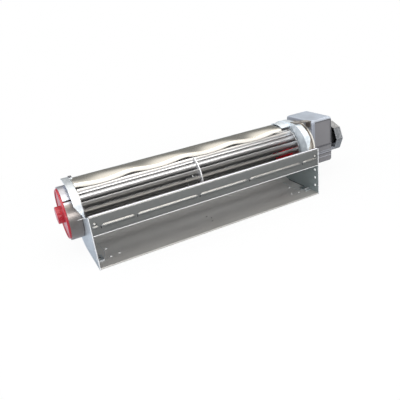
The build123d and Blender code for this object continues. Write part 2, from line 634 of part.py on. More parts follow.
panel_h = COVER_ABOVE - PANEL_INSET - PANEL_FOOT
panel_z = AXIS_Z + PANEL_FOOT + panel_h / 2
with BuildPart() as motor_cover_upper:
    add(cover_box.part)
    split(bisect_by=Plane.XY.offset(AXIS_Z + COVER_PART_GAP / 2), keep=Keep.TOP)
    with BuildSketch(Plane.XZ.offset(-cover_front)):
        with Locations((cover_mid, panel_z)):
            RectangleRounded(COVER_LENGTH - 2 * PANEL_INSET, panel_h, PANEL_INSET / 2)
    extrude(amount=PANEL_STEP)
save(motor_cover_upper, "motor_cover_upper")

ledge_z = AXIS_Z - LEDGE_DROP
with BuildPart() as motor_cover_lower:
    add(cover_box.part)
    split(bisect_by=Plane.XY.offset(AXIS_Z - COVER_PART_GAP / 2), keep=Keep.BOTTOM)
    with BuildSketch(Plane.XY.offset(ledge_z - LUG_H)):
        with Locations((cover_mid, AXIS_Y)):
            RectangleRounded(COVER_LENGTH, COVER_WIDTH + 2 * LEDGE_STEP, COVER_END_ROUND)
            Rectangle(COVER_LENGTH - COVER_WALL, COVER_WIDTH - COVER_WALL, mode=Mode.SUBTRACT)
    extrude(amount=LUG_H)
    with BuildSketch(Plane.XY.offset(ledge_z - LUG_H)):
        with Locations((cover_end - COVER_WALL + (LUG_L + COVER_WALL) / 2, cover_front + LUG_W / 2)):
            Rectangle(LUG_L + COVER_WALL, LUG_W)
        with Locations((cover_end + LUG_L - LUG_W / 2, cover_front + LUG_W / 2)):
            Circle(LUG_HOLE_R, mode=Mode.SUBTRACT)
    extrude(amount=LUG_H)
    with BuildSketch(Plane.XZ.offset(-cover_back)):
        with Locations((cover_mid, AXIS_Z - TERMINAL_DROP)):
            with GridLocations(TERMINAL_PITCH, 0, TERMINALS, 1):
                Rectangle(TERMINAL_T + 2 * FIT_GAP, TERMINAL_W + 2 * FIT_GAP)
    extrude(amount=COVER_WALL, mode=Mode.SUBTRACT)
save(motor_cover_lower, "motor_cover_lower")

# Strap on the right plate's bent edge, leaning forward to the cover's left face
strap_start = RIGHT_X + PLATE_T
strap_end = COVER_X - SEAT_GAP
strap_y = arch_center[0] + STRAP_BACK
strap_low = strap_y - STRAP_SLANT
strap_mid = ((strap_start + strap_end) / 2, (strap_y + strap_low - STRAP_W) / 2)
strap_turn = degrees(atan2(-STRAP_SLANT, strap_end - strap_start))
with BuildPart() as motor_strap:
    with BuildSketch(Plane.XY.offset(head_top)):
        with BuildLine():
            Polyline((strap_start, strap_y), (strap_start, strap_y - STRAP_W),
                     (strap_end, strap_low - STRAP_W), (strap_end, strap_low), (strap_start, strap_y))
        make_face()
        with Locations(strap_mid):
            Circle(STRAP_HOLE_R, mode=Mode.SUBTRACT)
    extrude(amount=STRAP_T)
    with BuildSketch(Plane.XY.offset(head_top + STRAP_T)):
        with Locations(strap_mid):
            with GridLocations(0, STRAP_RIB_SPAN, 1, 2):
                Rectangle((strap_end - strap_start) / 2, STRAP_RIB_W, rotation=strap_turn)
    extrude(amount=STRAP_RIB_H)
    with BuildSketch(PROFILE.offset(strap_end)):
        with Locations((strap_low - STRAP_W / 2, head_top + STRAP_T - (STRAP_T + STRAP_DROP) / 2)):
            Rectangle(STRAP_W - 2 * STRAP_EDGE, STRAP_T + STRAP_DROP)
    extrude(amount=-STRAP_T)
save(motor_strap, "motor_strap")

# Flat terminals through the rear wall of the lower half
with BuildPart() as terminals:
    with BuildSketch(Plane.XZ.offset(-cover_back - TERMINAL_OUT)):
        with Locations((cover_mid, AXIS_Z - TERMINAL_DROP)):
            with GridLocations(TERMINAL_PITCH, 0, TERMINALS, 1):
                Rectangle(TERMINAL_T, TERMINAL_W)
    extrude(amount=TERMINAL_OUT + COVER_WALL + TERMINAL_IN)
save(terminals, "terminals")

# Stator: laminated stack with a bore, a winding window and slots for the shading loops
with BuildPart() as stator_core:
    with BuildSketch(AXLE.offset(CORE_X)):
        with Locations((0, (CORE_ABOVE - CORE_BELOW) / 2)):
            Rectangle(CORE_WIDTH, CORE_ABOVE + CORE_BELOW)
        Circle(BORE_R, mode=Mode.SUBTRACT)
        with Locations((0, YOKE_Z - WINDOW_H / 2)):
            Rectangle(WINDOW_W, WINDOW_H, mode=Mode.SUBTRACT)
        with GridLocations(SCREW_SPAN, 0, 2, 1):
            Circle(SCREW_R + FIT_GAP, mode=Mode.SUBTRACT)
        with GridLocations(2 * SHADE_Y, 2 * SHADE_Z, 2, 2):
            Rectangle(SHADE_W + 2 * FIT_GAP, SHADE_W + 2 * FIT_GAP, mode=Mode.SUBTRACT)
    extrude(amount=CORE_T)
save(stator_core, "stator_core")

with BuildPart() as shading_loops:
    with BuildSketch(AXLE.offset(CORE_X - SHADE_W)):
        with GridLocations(2 * SHADE_Y, 0, 2, 1):
            Rectangle(SHADE_W, 2 * SHADE_Z + SHADE_W)
    extrude(amount=CORE_T + 2 * SHADE_W)
    with BuildSketch(AXLE.offset(CORE_X)):
        with GridLocations(2 * SHADE_Y, 0, 2, 1):
            Rectangle(2 * SHADE_W, 2 * SHADE_Z - SHADE_W)
    extrude(amount=CORE_T, mode=Mode.SUBTRACT)
save(shading_loops, "shading_loops")

# Coil on the stator's yoke: flanged bobbin and the winding between its flanges
bobbin_w = WINDOW_W - 2 * SEAT_GAP
coil_y = AXIS_Y - bobbin_w / 2
yoke_mid = (CORE_X + CORE_T / 2, AXIS_Z + YOKE_Z + YOKE_H / 2)
tube_grow = SEAT_GAP + BOBBIN_T


def yoke_sleeve(outer, inner):
    """Frame round the yoke's section, by its outer and inner distance from it."""
    with Locations(yoke_mid):
        Rectangle(CORE_T + 2 * outer, YOKE_H + 2 * outer)
        Rectangle(CORE_T + 2 * inner, YOKE_H + 2 * inner, mode=Mode.SUBTRACT)


with BuildPart() as coil_bobbin:
    for y in (coil_y, coil_y + bobbin_w - BOBBIN_T):
        with BuildSketch(Plane.XZ.offset(-y)):
            yoke_sleeve(tube_grow + COIL_H, SEAT_GAP)
        extrude(amount=-BOBBIN_T)
    with BuildSketch(Plane.XZ.offset(-coil_y)):
        yoke_sleeve(tube_grow, SEAT_GAP)
    extrude(amount=-bobbin_w)
save(coil_bobbin, "coil_bobbin")

with BuildPart() as coil_winding:
    with BuildSketch(Plane.XZ.offset(-coil_y - BOBBIN_T)):
        yoke_sleeve(tube_grow + COIL_H - SEAT_GAP, tube_grow)
    extrude(amount=-(bobbin_w - 2 * BOBBIN_T))
    fillet(coil_winding.edges().filter_by(Axis.Y).group_by(Axis.Z)[-1], COIL_H / 2)
save(coil_winding, "coil_winding")

# Motor brackets: straps across the stack with tubular bearing bosses that point inward
front_x = COVER_X + COVER_WALL + BRACKET_GAP
back_x = cover_end - COVER_WALL - BRACKET_GAP
for side, x, inward in (("front", front_x, 1), ("rear", back_x, -1)):
    with BuildPart() as bracket:
        with BuildSketch(AXLE.offset(x)):
            SlotCenterToCenter(SCREW_SPAN, BRACKET_W / 2)
            Circle(BRACKET_W / 2)
            with GridLocations(SCREW_SPAN, 0, 2, 1):
                Circle(SCREW_R + FIT_GAP, mode=Mode.SUBTRACT)
        extrude(amount=inward * BRACKET_T)
        with BuildSketch(AXLE.offset(x)):
            Circle(MOTOR_BUSH_R + BOSS_WALL)
        extrude(amount=inward * MOTOR_BUSH_L)
        with BuildSketch(AXLE.offset(x)):
            Circle(MOTOR_BUSH_R + FIT_GAP)
        extrude(amount=inward * MOTOR_BUSH_L, mode=Mode.SUBTRACT)
    save(bracket, f"{side}_bracket")

with BuildPart() as motor_bushes:
    add(ring(front_x, MOTOR_BUSH_L, MOTOR_BUSH_R, SHAFT_R + BEARING_CLEARANCE))
    add(ring(back_x - MOTOR_BUSH_L, MOTOR_BUSH_L, MOTOR_BUSH_R, SHAFT_R + BEARING_CLEARANCE))
save(motor_bushes, "motor_bushes")

# Spacers between stack and brackets, and the long screws through them all
with BuildPart() as motor_spacers:
    for low, high in ((front_x + BRACKET_T, CORE_X), (CORE_X + CORE_T, back_x - BRACKET_T)):
        with BuildSketch(AXLE.offset(low)):
            with GridLocations(SCREW_SPAN, 0, 2, 1):
                Circle(SPACER_R)
                Circle(SCREW_R + FIT_GAP, mode=Mode.SUBTRACT)
        extrude(amount=high - low)
save(motor_spacers, "motor_spacers")

screw_x = carrier_end - CARRIER_T
with BuildPart() as motor_screws:
    with BuildSketch(AXLE.offset(screw_x)):
        with GridLocations(SCREW_SPAN, 0, 2, 1):
            Circle(SCREW_R)
    extrude(amount=back_x - screw_x)
    with BuildSketch(AXLE.offset(screw_x)):
        with GridLocations(SCREW_SPAN, 0, 2, 1):
            Circle(SCREW_HEAD_R)
    extrude(amount=-SCREW_HEAD_H)
save(motor_screws, "motor_screws")

# Impeller blades: a shallow arc from tip to root, hollow towards falling angles
tip = (TIP_R, 0)
root = polar(ROOT_R, BLADE_SWEEP)
chord = hypot(root[0] - tip[0], root[1] - tip[1])
run = ((root[0] - tip[0]) / chord, (root[1] - tip[1]) / chord)
bend_depth = sqrt(BLADE_ARC_R**2 - chord**2 / 4)
bend = ((tip[0] + root[0]) / 2 - run[1] * bend_depth, (tip[1] + root[1]) / 2 + run[0] * bend_depth)
bend_middle = degrees(atan2(-run[0], run[1]))
bend_half = degrees(asin(chord / 2 / BLADE_ARC_R))


def blade_section(clearance):
    """Curved section of one blade, or of its slot when a clearance is given."""
    half_t = BLADE_T / 2 + clearance
    half_a = bend_half + degrees(clearance / BLADE_ARC_R)
    with BuildSketch() as section:
        with BuildLine():
            sector(bend, BLADE_ARC_R + half_t, BLADE_ARC_R - half_t, bend_middle - half_a,
                   bend_middle + half_a)
        make_face()
    return section.sketch


blade = blade_section(0)
slot = blade_section(SLOT_CLEARANCE)
left_disc_x = LEFT_X + ROTOR_END_GAP
right_disc_x = RIGHT_X - ROTOR_END_GAP - DISC_T
with BuildPart() as impeller_blades:
    with BuildSketch(AXLE.offset(left_disc_x - STAKE)):
        with PolarLocations(0, BLADES, start_angle=BLADE_PHASE):
            add(blade)
    extrude(amount=right_disc_x + DISC_T - left_disc_x + 2 * STAKE)
save(impeller_blades, "impeller_blades")


def slotted_disc(x, inner):
    """Disc or ring about the rotor axis with a slot for each blade."""
    with BuildPart() as disc:
        with BuildSketch(AXLE.offset(x)):
            Circle(RING_R)
            Circle(inner, mode=Mode.SUBTRACT)
            with PolarLocations(0, BLADES, start_angle=BLADE_PHASE):
                add(slot, mode=Mode.SUBTRACT)
        extrude(amount=DISC_T)
    return disc.part


with BuildPart() as left_end_disc:
    add(slotted_disc(left_disc_x, SHAFT_R + FIT_GAP))
    add(ring(left_disc_x, DISC_BOSS_L, DISC_BOSS_R, SHAFT_R + FIT_GAP))
save(left_end_disc, "left_end_disc")

with BuildPart() as middle_ring:
    add(slotted_disc(LEFT_X + (CASING_LENGTH - DISC_T) / 2, ROOT_R - RING_WEB))
save(middle_ring, "middle_ring")

with BuildPart() as right_end_disc:
    add(slotted_disc(right_disc_x, DRIVE_HOLE_R))
save(right_end_disc, "right_end_disc")

# Stub shaft of the left disc, turning in the bearing bush
stub_x = bush_x + SEAT_GAP
with BuildPart() as stub_shaft:
    with BuildSketch(AXLE.offset(stub_x)):
        Circle(SHAFT_R)
    extrude(amount=left_disc_x + DISC_BOSS_L - stub_x)
save(stub_shaft, "stub_shaft")

# Drive line: rubber hub plugged into the right disc, motor shaft, squirrel-cage rotor
hub_x = right_disc_x - HUB_L
with BuildPart() as drive_hub:
    add(ring(hub_x, HUB_L, HUB_R, SHAFT_R + FIT_GAP))
    fillet(drive_hub.faces().sort_by(Axis.X)[0].outer_wire().edges(), MOUNT_ROUND)
    add(ring(right_disc_x - HUB_FLANGE_T, HUB_FLANGE_T, HUB_FLANGE_R, SHAFT_R + FIT_GAP))
    add(ring(right_disc_x, DISC_T, DRIVE_HOLE_R - FIT_GAP, SHAFT_R + FIT_GAP))
save(drive_hub, "drive_hub")

shaft_x = hub_x + SHAFT_INSET
with BuildPart() as motor_shaft:
    with BuildSketch(AXLE.offset(shaft_x)):
        Circle(SHAFT_R)
    extrude(amount=WHEEL_X + WHEEL_L - SHAFT_INSET - shaft_x)
save(motor_shaft, "motor_shaft")

with BuildPart() as motor_rotor:
    add(ring(CORE_X, CORE_T, CORE_R, SHAFT_R + FIT_GAP))
save(motor_rotor, "motor_rotor")

# Cooling wheel: octagonal drum slit at its corners, open towards the motor
wheel_end = WHEEL_X + WHEEL_L
with BuildPart() as cooling_wheel:
    with BuildSketch(AXLE.offset(WHEEL_X)):
        RegularPolygon(WHEEL_R, WHEEL_SIDES)
    extrude(amount=WHEEL_L)
    with BuildSketch(AXLE.offset(WHEEL_X)):
        RegularPolygon(RIM_INSIDE, WHEEL_SIDES)
    extrude(amount=WHEEL_L - WHEEL_T, mode=Mode.SUBTRACT)
    with BuildSketch(AXLE.offset(WHEEL_X)):
        with PolarLocations(WHEEL_R, WHEEL_SIDES):
            Rectangle(4 * WHEEL_T, WHEEL_SLIT)
    extrude(amount=WHEEL_L - 2 * WHEEL_T, mode=Mode.SUBTRACT)
    with BuildSketch(AXLE.offset(wheel_end)):
        Circle(SHAFT_R + FIT_GAP)
    extrude(amount=-WHEEL_T, mode=Mode.SUBTRACT)
save(cooling_wheel, "cooling_wheel")

with BuildPart() as wheel_hub:
    add(ring(wheel_end - WHEEL_T - WHEEL_HUB_L, WHEEL_HUB_L, WHEEL_HUB_R, SHAFT_R + FIT_GAP))
save(wheel_hub, "wheel_hub")
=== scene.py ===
import json
import math

import bmesh
import bpy
from mathutils import Matrix, Vector


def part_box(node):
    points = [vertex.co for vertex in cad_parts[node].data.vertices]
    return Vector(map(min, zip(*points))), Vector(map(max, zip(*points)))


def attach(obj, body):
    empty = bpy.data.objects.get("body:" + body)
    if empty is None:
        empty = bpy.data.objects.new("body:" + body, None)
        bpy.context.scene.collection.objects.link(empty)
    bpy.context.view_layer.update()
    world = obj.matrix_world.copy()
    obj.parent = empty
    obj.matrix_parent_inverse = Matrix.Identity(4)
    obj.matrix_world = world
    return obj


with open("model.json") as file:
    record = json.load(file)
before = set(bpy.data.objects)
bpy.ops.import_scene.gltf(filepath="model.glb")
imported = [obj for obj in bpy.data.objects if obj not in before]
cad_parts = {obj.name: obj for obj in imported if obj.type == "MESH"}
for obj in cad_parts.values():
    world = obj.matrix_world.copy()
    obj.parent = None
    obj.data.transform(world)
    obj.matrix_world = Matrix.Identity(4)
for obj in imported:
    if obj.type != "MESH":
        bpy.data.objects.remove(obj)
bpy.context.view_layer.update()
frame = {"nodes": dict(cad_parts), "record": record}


# Camera: high up and to the left of the outlet, with a lens of medium length
CAMERA_PLACE = Vector((-0.24610, -0.49020, 0.25380))
CAMERA_RIGHT = Vector((0.8847, -0.4505, -0.1195)).normalized()
CAMERA_UP = Vector((0.2805, 0.3097, 0.9085)).normalized()
CAMERA_LENS = 40.81


def place_camera():
    """Set up the camera that sees the whole fan from its outlet side."""
    data = bpy.data.cameras.new("camera")
    data.sensor_width = 36.0
    data.lens = CAMERA_LENS
    data.clip_start = 0.02
    camera = bpy.data.objects.new("camera", data)
    back = CAMERA_RIGHT.cross(CAMERA_UP)
    turn = Matrix((CAMERA_RIGHT, CAMERA_UP, back)).transposed()
    camera.matrix_world = Matrix.Translation(CAMERA_PLACE) @ turn.to_4x4()
    bpy.context.collection.objects.link(camera)
    bpy.context.scene.camera = camera


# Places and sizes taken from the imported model, in metres
sheet_low, sheet_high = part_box("scroll_sheet")
ring_low, ring_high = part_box("middle_ring")
cover_low, cover_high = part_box("motor_cover_upper")
CUP_END_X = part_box("bearing_cup")[0][0]
LEFT_X = sheet_low[0]
RIGHT_X = sheet_high[0]
FRONT_Y = sheet_low[1]
RING_X = (ring_low[0] + ring_high[0]) / 2
AXIS_Y = (ring_low[1] + ring_high[1]) / 2
AXIS_Z = (ring_low[2] + ring_high[2]) / 2
AXIS_PLACE = (0.0, AXIS_Y, AXIS_Z)
RING_R = (ring_high[2] - ring_low[2]) / 2
TIP_R = RING_R - 0.0008

# Sizes of the casing that no box gives
FLOOR_TOP = 0.0020
STRIP_BOTTOM = 0.0407
STRIP_TOP = 0.0640
RIB_Z = STRIP_BOTTOM + 0.0097
RIB_STOPS = (0.0, 0.033, 0.169, 0.425, 0.650, 0.914, 1.0)
RIB_BREAK = 0.0040
CUP_SLIT_Z = 0.0688


# Short ways to write a node tree
def add(tree, kind, x=0, y=0, **settings):
    node = tree.nodes.new(kind)
    node.location = (x, y)
    for key, value in settings.items():
        setattr(node, key, value)
    return node


def join(tree, start, end):
    tree.links.new(start, end)


def math_node(tree, operation, x, y, first, second, clamp=False):
    """Result of an operation on two values, each a number or a socket."""
    node = add(tree, "ShaderNodeMath", x, y, operation=operation, use_clamp=clamp)
    for socket, value in zip(node.inputs, (first, second)):
        if hasattr(value, "is_linked"):
            join(tree, value, socket)
        else:
            socket.default_value = value
    return node.outputs[0]


def mix_shaders(tree, x, y, mask, first, second):
    """Two shaders mixed by a mask, as the first socket of a new node."""
    node = add(tree, "ShaderNodeMixShader", x, y)
    for socket, value in zip(node.inputs, (mask, first, second)):
        join(tree, value, socket)
    return node.outputs[0]


def new_group(name, inputs, outputs):
    """An empty node group with named sockets for numbers and vectors."""
    tree = bpy.data.node_groups.new(name, "ShaderNodeTree")
    for label, kind, value in inputs:
        socket = tree.interface.new_socket(label, in_out="INPUT", socket_type=kind)
        socket.default_value = value
    for label, kind in outputs:
        tree.interface.new_socket(label, in_out="OUTPUT", socket_type=kind)
    start = add(tree, "NodeGroupInput", -900, 0)
    end = add(tree, "NodeGroupOutput", 500, 0)
    return tree, start, end


# Effects that the finishes share, each a node group
NUMBER = "NodeSocketFloat"
VECTOR = "NodeSocketVector"


def with_contrast(tree, x, value, start):
    """A 0 to 1 value, spread about its middle by the group's Contrast."""
    centred = math_node(tree, "SUBTRACT", x, 0, value, 0.5)
    scaled = math_node(tree, "MULTIPLY", x + 120, 0, centred, start.outputs["Contrast"])
    return math_node(tree, "ADD", x + 240, 0, scaled, 0.5, clamp=True)


def axis_distance(tree, start):
    """Distance from the line along the rotor through the group's Axis Place."""
    place = add(tree, "ShaderNodeTexCoord", -900, -200)
    centred = add(tree, "ShaderNodeVectorMath", -700, 0, operation="SUBTRACT")
    join(tree, place.outputs["Object"], centred.inputs[0])
    join(tree, start.outputs["Axis Place"], centred.inputs[1])
    flat = add(tree, "ShaderNodeVectorMath", -520, 0, operation="MULTIPLY")
    flat.inputs[1].default_value = (0.0, 1.0, 1.0)
    join(tree, centred.outputs[0], flat.inputs[0])
    far = add(tree, "ShaderNodeVectorMath", -340, 0, operation="LENGTH")
    join(tree, flat.outputs[0], far.inputs[0])
    return far.outputs["Value"]


def rolling_streaks():
    """Fine lines that rolling leaves in sheet metal, along one direction."""
    tree, start, end = new_group(
        "rolling streaks",
        [("Direction Scale", VECTOR, (3.0, 260.0, 260.0)), ("Contrast", NUMBER, 0.5)],
        [("Streaks", NUMBER)])
    place = add(tree, "ShaderNodeTexCoord", -900, -200)
    stretch = add(tree, "ShaderNodeMapping", -650, 0)
    join(tree, place.outputs["Object"], stretch.inputs["Vector"])
    join(tree, start.outputs["Direction Scale"], stretch.inputs["Scale"])
    fine = add(tree, "ShaderNodeTexNoise", -430, 0)
    fine.inputs["Scale"].default_value = 1.0
    fine.inputs["Detail"].default_value = 4.0
    join(tree, stretch.outputs[0], fine.inputs["Vector"])
    join(tree, with_contrast(tree, -200, fine.outputs[0], start), end.inputs["Streaks"])
    return tree


def zinc_bloom():
    """Soft crystals of a galvanised surface."""
    tree, start, end = new_group(
        "zinc bloom",
        [("Crystal Scale", NUMBER, 260.0), ("Contrast", NUMBER, 0.5)],
        [("Bloom", NUMBER)])
    place = add(tree, "ShaderNodeTexCoord", -900, -200)
    bend = add(tree, "ShaderNodeTexNoise", -700, -300)
    bend.inputs["Scale"].default_value = 90.0
    join(tree, place.outputs["Object"], bend.inputs["Vector"])
    offset = add(tree, "ShaderNodeVectorMath", -500, -250, operation="SCALE")
    offset.inputs["Scale"].default_value = 0.004
    join(tree, bend.outputs["Color"], offset.inputs[0])
    moved = add(tree, "ShaderNodeVectorMath", -320, -150, operation="ADD")
    join(tree, place.outputs["Object"], moved.inputs[0])
    join(tree, offset.outputs[0], moved.inputs[1])
    cells = add(tree, "ShaderNodeTexVoronoi", -150, 0)
    join(tree, moved.outputs[0], cells.inputs["Vector"])
    join(tree, start.outputs["Crystal Scale"], cells.inputs["Scale"])
    tone = add(tree, "ShaderNodeSeparateColor", 30, 0)
    join(tree, cells.outputs["Color"], tone.inputs[0])
    join(tree, with_contrast(tree, 180, tone.outputs[0], start), end.inputs["Bloom"])
    return tree


def edges_worn_and_highlit():
    """Mask of the edges: rubbed bare and bright on metal, partly wear and partly painted highlight, and a
    painted highlight on plastic and rubber.
    """
    tree, start, end = new_group(
        "edges worn and highlit",
        [("Strength", NUMBER, 1.0), ("Break Up", NUMBER, 120.0), ("Radius", NUMBER, 0.0005)],
        [("Mask", NUMBER), ("Normal", VECTOR)])
    rounded = add(tree, "ShaderNodeBevel", -650, 200, samples=4)
    join(tree, start.outputs["Radius"], rounded.inputs["Radius"])
    true = add(tree, "ShaderNodeNewGeometry", -650, 0)
    dot = add(tree, "ShaderNodeVectorMath", -430, 100, operation="DOT_PRODUCT")
    join(tree, rounded.outputs[0], dot.inputs[0])
    join(tree, true.outputs["Normal"], dot.inputs[1])
    turned = math_node(tree, "SUBTRACT", -230, 100, 1.0, dot.outputs["Value"])
    raised = math_node(tree, "MULTIPLY", -60, 100, turned, 6.0, clamp=True)
    place = add(tree, "ShaderNodeTexCoord", -900, -300)
    patches = add(tree, "ShaderNodeTexNoise", -650, -300)
    join(tree, place.outputs["Object"], patches.inputs["Vector"])
    join(tree, start.outputs["Break Up"], patches.inputs["Scale"])
    kept = math_node(tree, "MULTIPLY", 100, 0, raised, patches.outputs[0])
    scaled = math_node(tree, "MULTIPLY", 260, 0, kept, start.outputs["Strength"], clamp=True)
    join(tree, scaled, end.inputs["Mask"])
    join(tree, rounded.outputs[0], end.inputs["Normal"])
    return tree


def painted_top_light():
    """Mask of painted light on faces that look up, broken into patches."""
    tree, start, end = new_group(
        "painted top light",
        [("Amount", NUMBER, 0.3), ("Patch Scale", NUMBER, 25.0)],
        [("Mask", NUMBER)])
    face = add(tree, "ShaderNodeNewGeometry", -700, 100)
    parts = add(tree, "ShaderNodeSeparateXYZ", -520, 100)
    join(tree, face.outputs["Normal"], parts.inputs[0])
    up = math_node(tree, "MULTIPLY", -340, 100, parts.outputs[2], 1.0, clamp=True)
    place = add(tree, "ShaderNodeTexCoord", -900, -200)
    patches = add(tree, "ShaderNodeTexNoise", -600, -200)
    patches.inputs["Detail"].default_value = 6.0
    join(tree, place.outputs["Object"], patches.inputs["Vector"])
    join(tree, start.outputs["Patch Scale"], patches.inputs["Scale"])
    both = math_node(tree, "MULTIPLY", -140, 0, up, patches.outputs[0])
    scaled = math_node(tree, "MULTIPLY", 60, 0, both, start.outputs["Amount"], clamp=True)
    join(tree, scaled, end.inputs["Mask"])
    return tree


def moulded_grain():
    """Fine spark-eroded grain of moulded plastic and rubber."""
    tree, start, end = new_group(
        "moulded grain",
        [("Grain Scale", NUMBER, 2600.0)],
        [("Height", NUMBER), ("Cloud", NUMBER)])
    place = add(tree, "ShaderNodeTexCoord", -900, -200)
    grain = add(tree, "ShaderNodeTexNoise", -500, 100)
    grain.inputs["Detail"].default_value = 3.0
    join(tree, place.outputs["Object"], grain.inputs["Vector"])
    join(tree, start.outputs["Grain Scale"], grain.inputs["Scale"])
    cloud = add(tree, "ShaderNodeTexNoise", -500, -200)
    cloud.inputs["Scale"].default_value = 35.0
    join(tree, place.outputs["Object"], cloud.inputs["Vector"])
    join(tree, grain.outputs[0], end.inputs["Height"])
    join(tree, cloud.outputs[0], end.inputs["Cloud"])
    return tree


def turning_marks():
    """Fine rings about the rotor axis, left by turning or stamping."""
    tree, start, end = new_group(
        "turning marks",
        [("Axis Place", VECTOR, AXIS_PLACE), ("Rings", NUMBER, 1500.0)],
        [("Marks", NUMBER)])
    far = axis_distance(tree, start)
    steps = math_node(tree, "MULTIPLY", -110, 0, far, start.outputs["Rings"])
    rings = add(tree, "ShaderNodeTexNoise", 60, 0, noise_dimensions="1D")
    rings.inputs["Scale"].default_value = 1.0
    join(tree, steps, rings.inputs["W"])
    join(tree, rings.outputs[0], end.inputs["Marks"])
    return tree


def place_ramp():
    """Mask that rises along one direction of the model, from 0 at Low to 1 at High."""
    tree, start, end = new_group(
        "place ramp",
        [("Direction", VECTOR, (0.0, 0.0, 1.0)), ("Low", NUMBER, 0.0), ("High", NUMBER, 0.05)],
        [("Mask", NUMBER)])
    place = add(tree, "ShaderNodeTexCoord", -900, -200)
    along = add(tree, "ShaderNodeVectorMath", -650, 0, operation="DOT_PRODUCT")
    join(tree, place.outputs["Object"], along.inputs[0])
    join(tree, start.outputs["Direction"], along.inputs[1])
    ramp = add(tree, "ShaderNodeMapRange", -400, 0, interpolation_type="SMOOTHSTEP")
    join(tree, along.outputs["Value"], ramp.inputs["Value"])
    join(tree, start.outputs["Low"], ramp.inputs["From Min"])
    join(tree, start.outputs["High"], ramp.inputs["From Max"])
    join(tree, ramp.outputs[0], end.inputs["Mask"])
    return tree


def painted_drum_shade():
    """Mask of painted shade that rises from 0 at the drum's rim to 1 deep between its blades."""
    tree, start, end = new_group(
        "painted drum shade",
        [("Axis Place", VECTOR, AXIS_PLACE), ("Inner", NUMBER, 0.0238), ("Outer", NUMBER, 0.0288)],
        [("Mask", NUMBER)])
    ramp = add(tree, "ShaderNodeMapRange", -160, 0, interpolation_type="SMOOTHSTEP")
    ramp.inputs["To Min"].default_value = 1.0
    ramp.inputs["To Max"].default_value = 0.0
    join(tree, axis_distance(tree, start), ramp.inputs["Value"])
    join(tree, start.outputs["Inner"], ramp.inputs["From Min"])
    join(tree, start.outputs["Outer"], ramp.inputs["From Max"])
    join(tree, ramp.outputs[0], end.inputs["Mask"])
    return tree


STREAKS = rolling_streaks()
BLOOM = zinc_bloom()
EDGES_WORN_AND_HIGHLIT = edges_worn_and_highlit()
TOP_LIGHT_PATCHES = painted_top_light()
GRAIN = moulded_grain()
MARKS = turning_marks()
RAMP = place_ramp()
DRUM_SHADE = painted_drum_shade()


def place_group(tree, group, x, y, **values):
    """A use of a shared effect, with the given values on its named inputs."""
    node = add(tree, "ShaderNodeGroup", x, y, node_tree=group)
    for label, value in values.items():
        node.inputs[label.replace("_", " ")].default_value = value
    return node


def new_finish(name):
    """A material with an empty tree, its principled shader and output."""
    material = bpy.data.materials.new(name)
    material.use_nodes = True
    tree = material.node_tree
    tree.nodes.clear()
    out = add(tree, "ShaderNodeOutputMaterial", 700, 0)
    shader = add(tree, "ShaderNodeBsdfPrincipled", 400, 0)
    join(tree, shader.outputs[0], out.inputs[0])
    return material, tree, shader


def blend_colours(tree, x, y, mask, first, second):
    """Mix two colours, each a colour or a socket, by a mask."""
    node = add(tree, "ShaderNodeMix", x, y, data_type="RGBA")
    for socket, value in ((node.inputs[0], mask), (node.inputs[6], first), (node.inputs[7], second)):
        if hasattr(value, "is_linked"):
            join(tree, value, socket)
        elif isinstance(value, float):
            socket.default_value = value
        else:
            socket.default_value = (*value, 1.0)
    return node.outputs[2]


def spread(tree, x, y, value, low, high):
    """Stretch a 0 to 1 value to the range from low to high."""
    node = add(tree, "ShaderNodeMapRange", x, y)
    node.inputs["To Min"].default_value = low
    node.inputs["To Max"].default_value = high
    join(tree, value, node.inputs["Value"])
    return node.outputs[0]


def soft_step(tree, value, low, high, x, y):
    """A number that rises smoothly from 0 at low to 1 at high."""
    node = add(tree, "ShaderNodeMapRange", x, y, interpolation_type="SMOOTHSTEP")
    node.inputs["From Min"].default_value = low
    node.inputs["From Max"].default_value = high
    join(tree, value, node.inputs["Value"])
    return node.outputs[0]


def shaded(tree, colour, shades, x, y):
    """Blend a colour to others, each along a direction of the model and between two places."""
    for direction, low, high, tint in shades:
        ramp = place_group(tree, RAMP, x - 200, y + 200, Direction=direction, Low=low, High=high)
        colour = blend_colours(tree, x, y, ramp.outputs[0], colour, tint)
        y += 250
    return colour


def relief(tree, shader, height, normal, strength, distance):
    """Give a shader fine relief over its softly rounded edges."""
    bump = add(tree, "ShaderNodeBump", 100, -300)
    bump.inputs["Strength"].default_value = strength
    bump.inputs["Distance"].default_value = distance
    join(tree, height, bump.inputs["Height"])
    join(tree, normal, bump.inputs["Normal"])
    join(tree, bump.outputs[0], shader.inputs["Normal"])


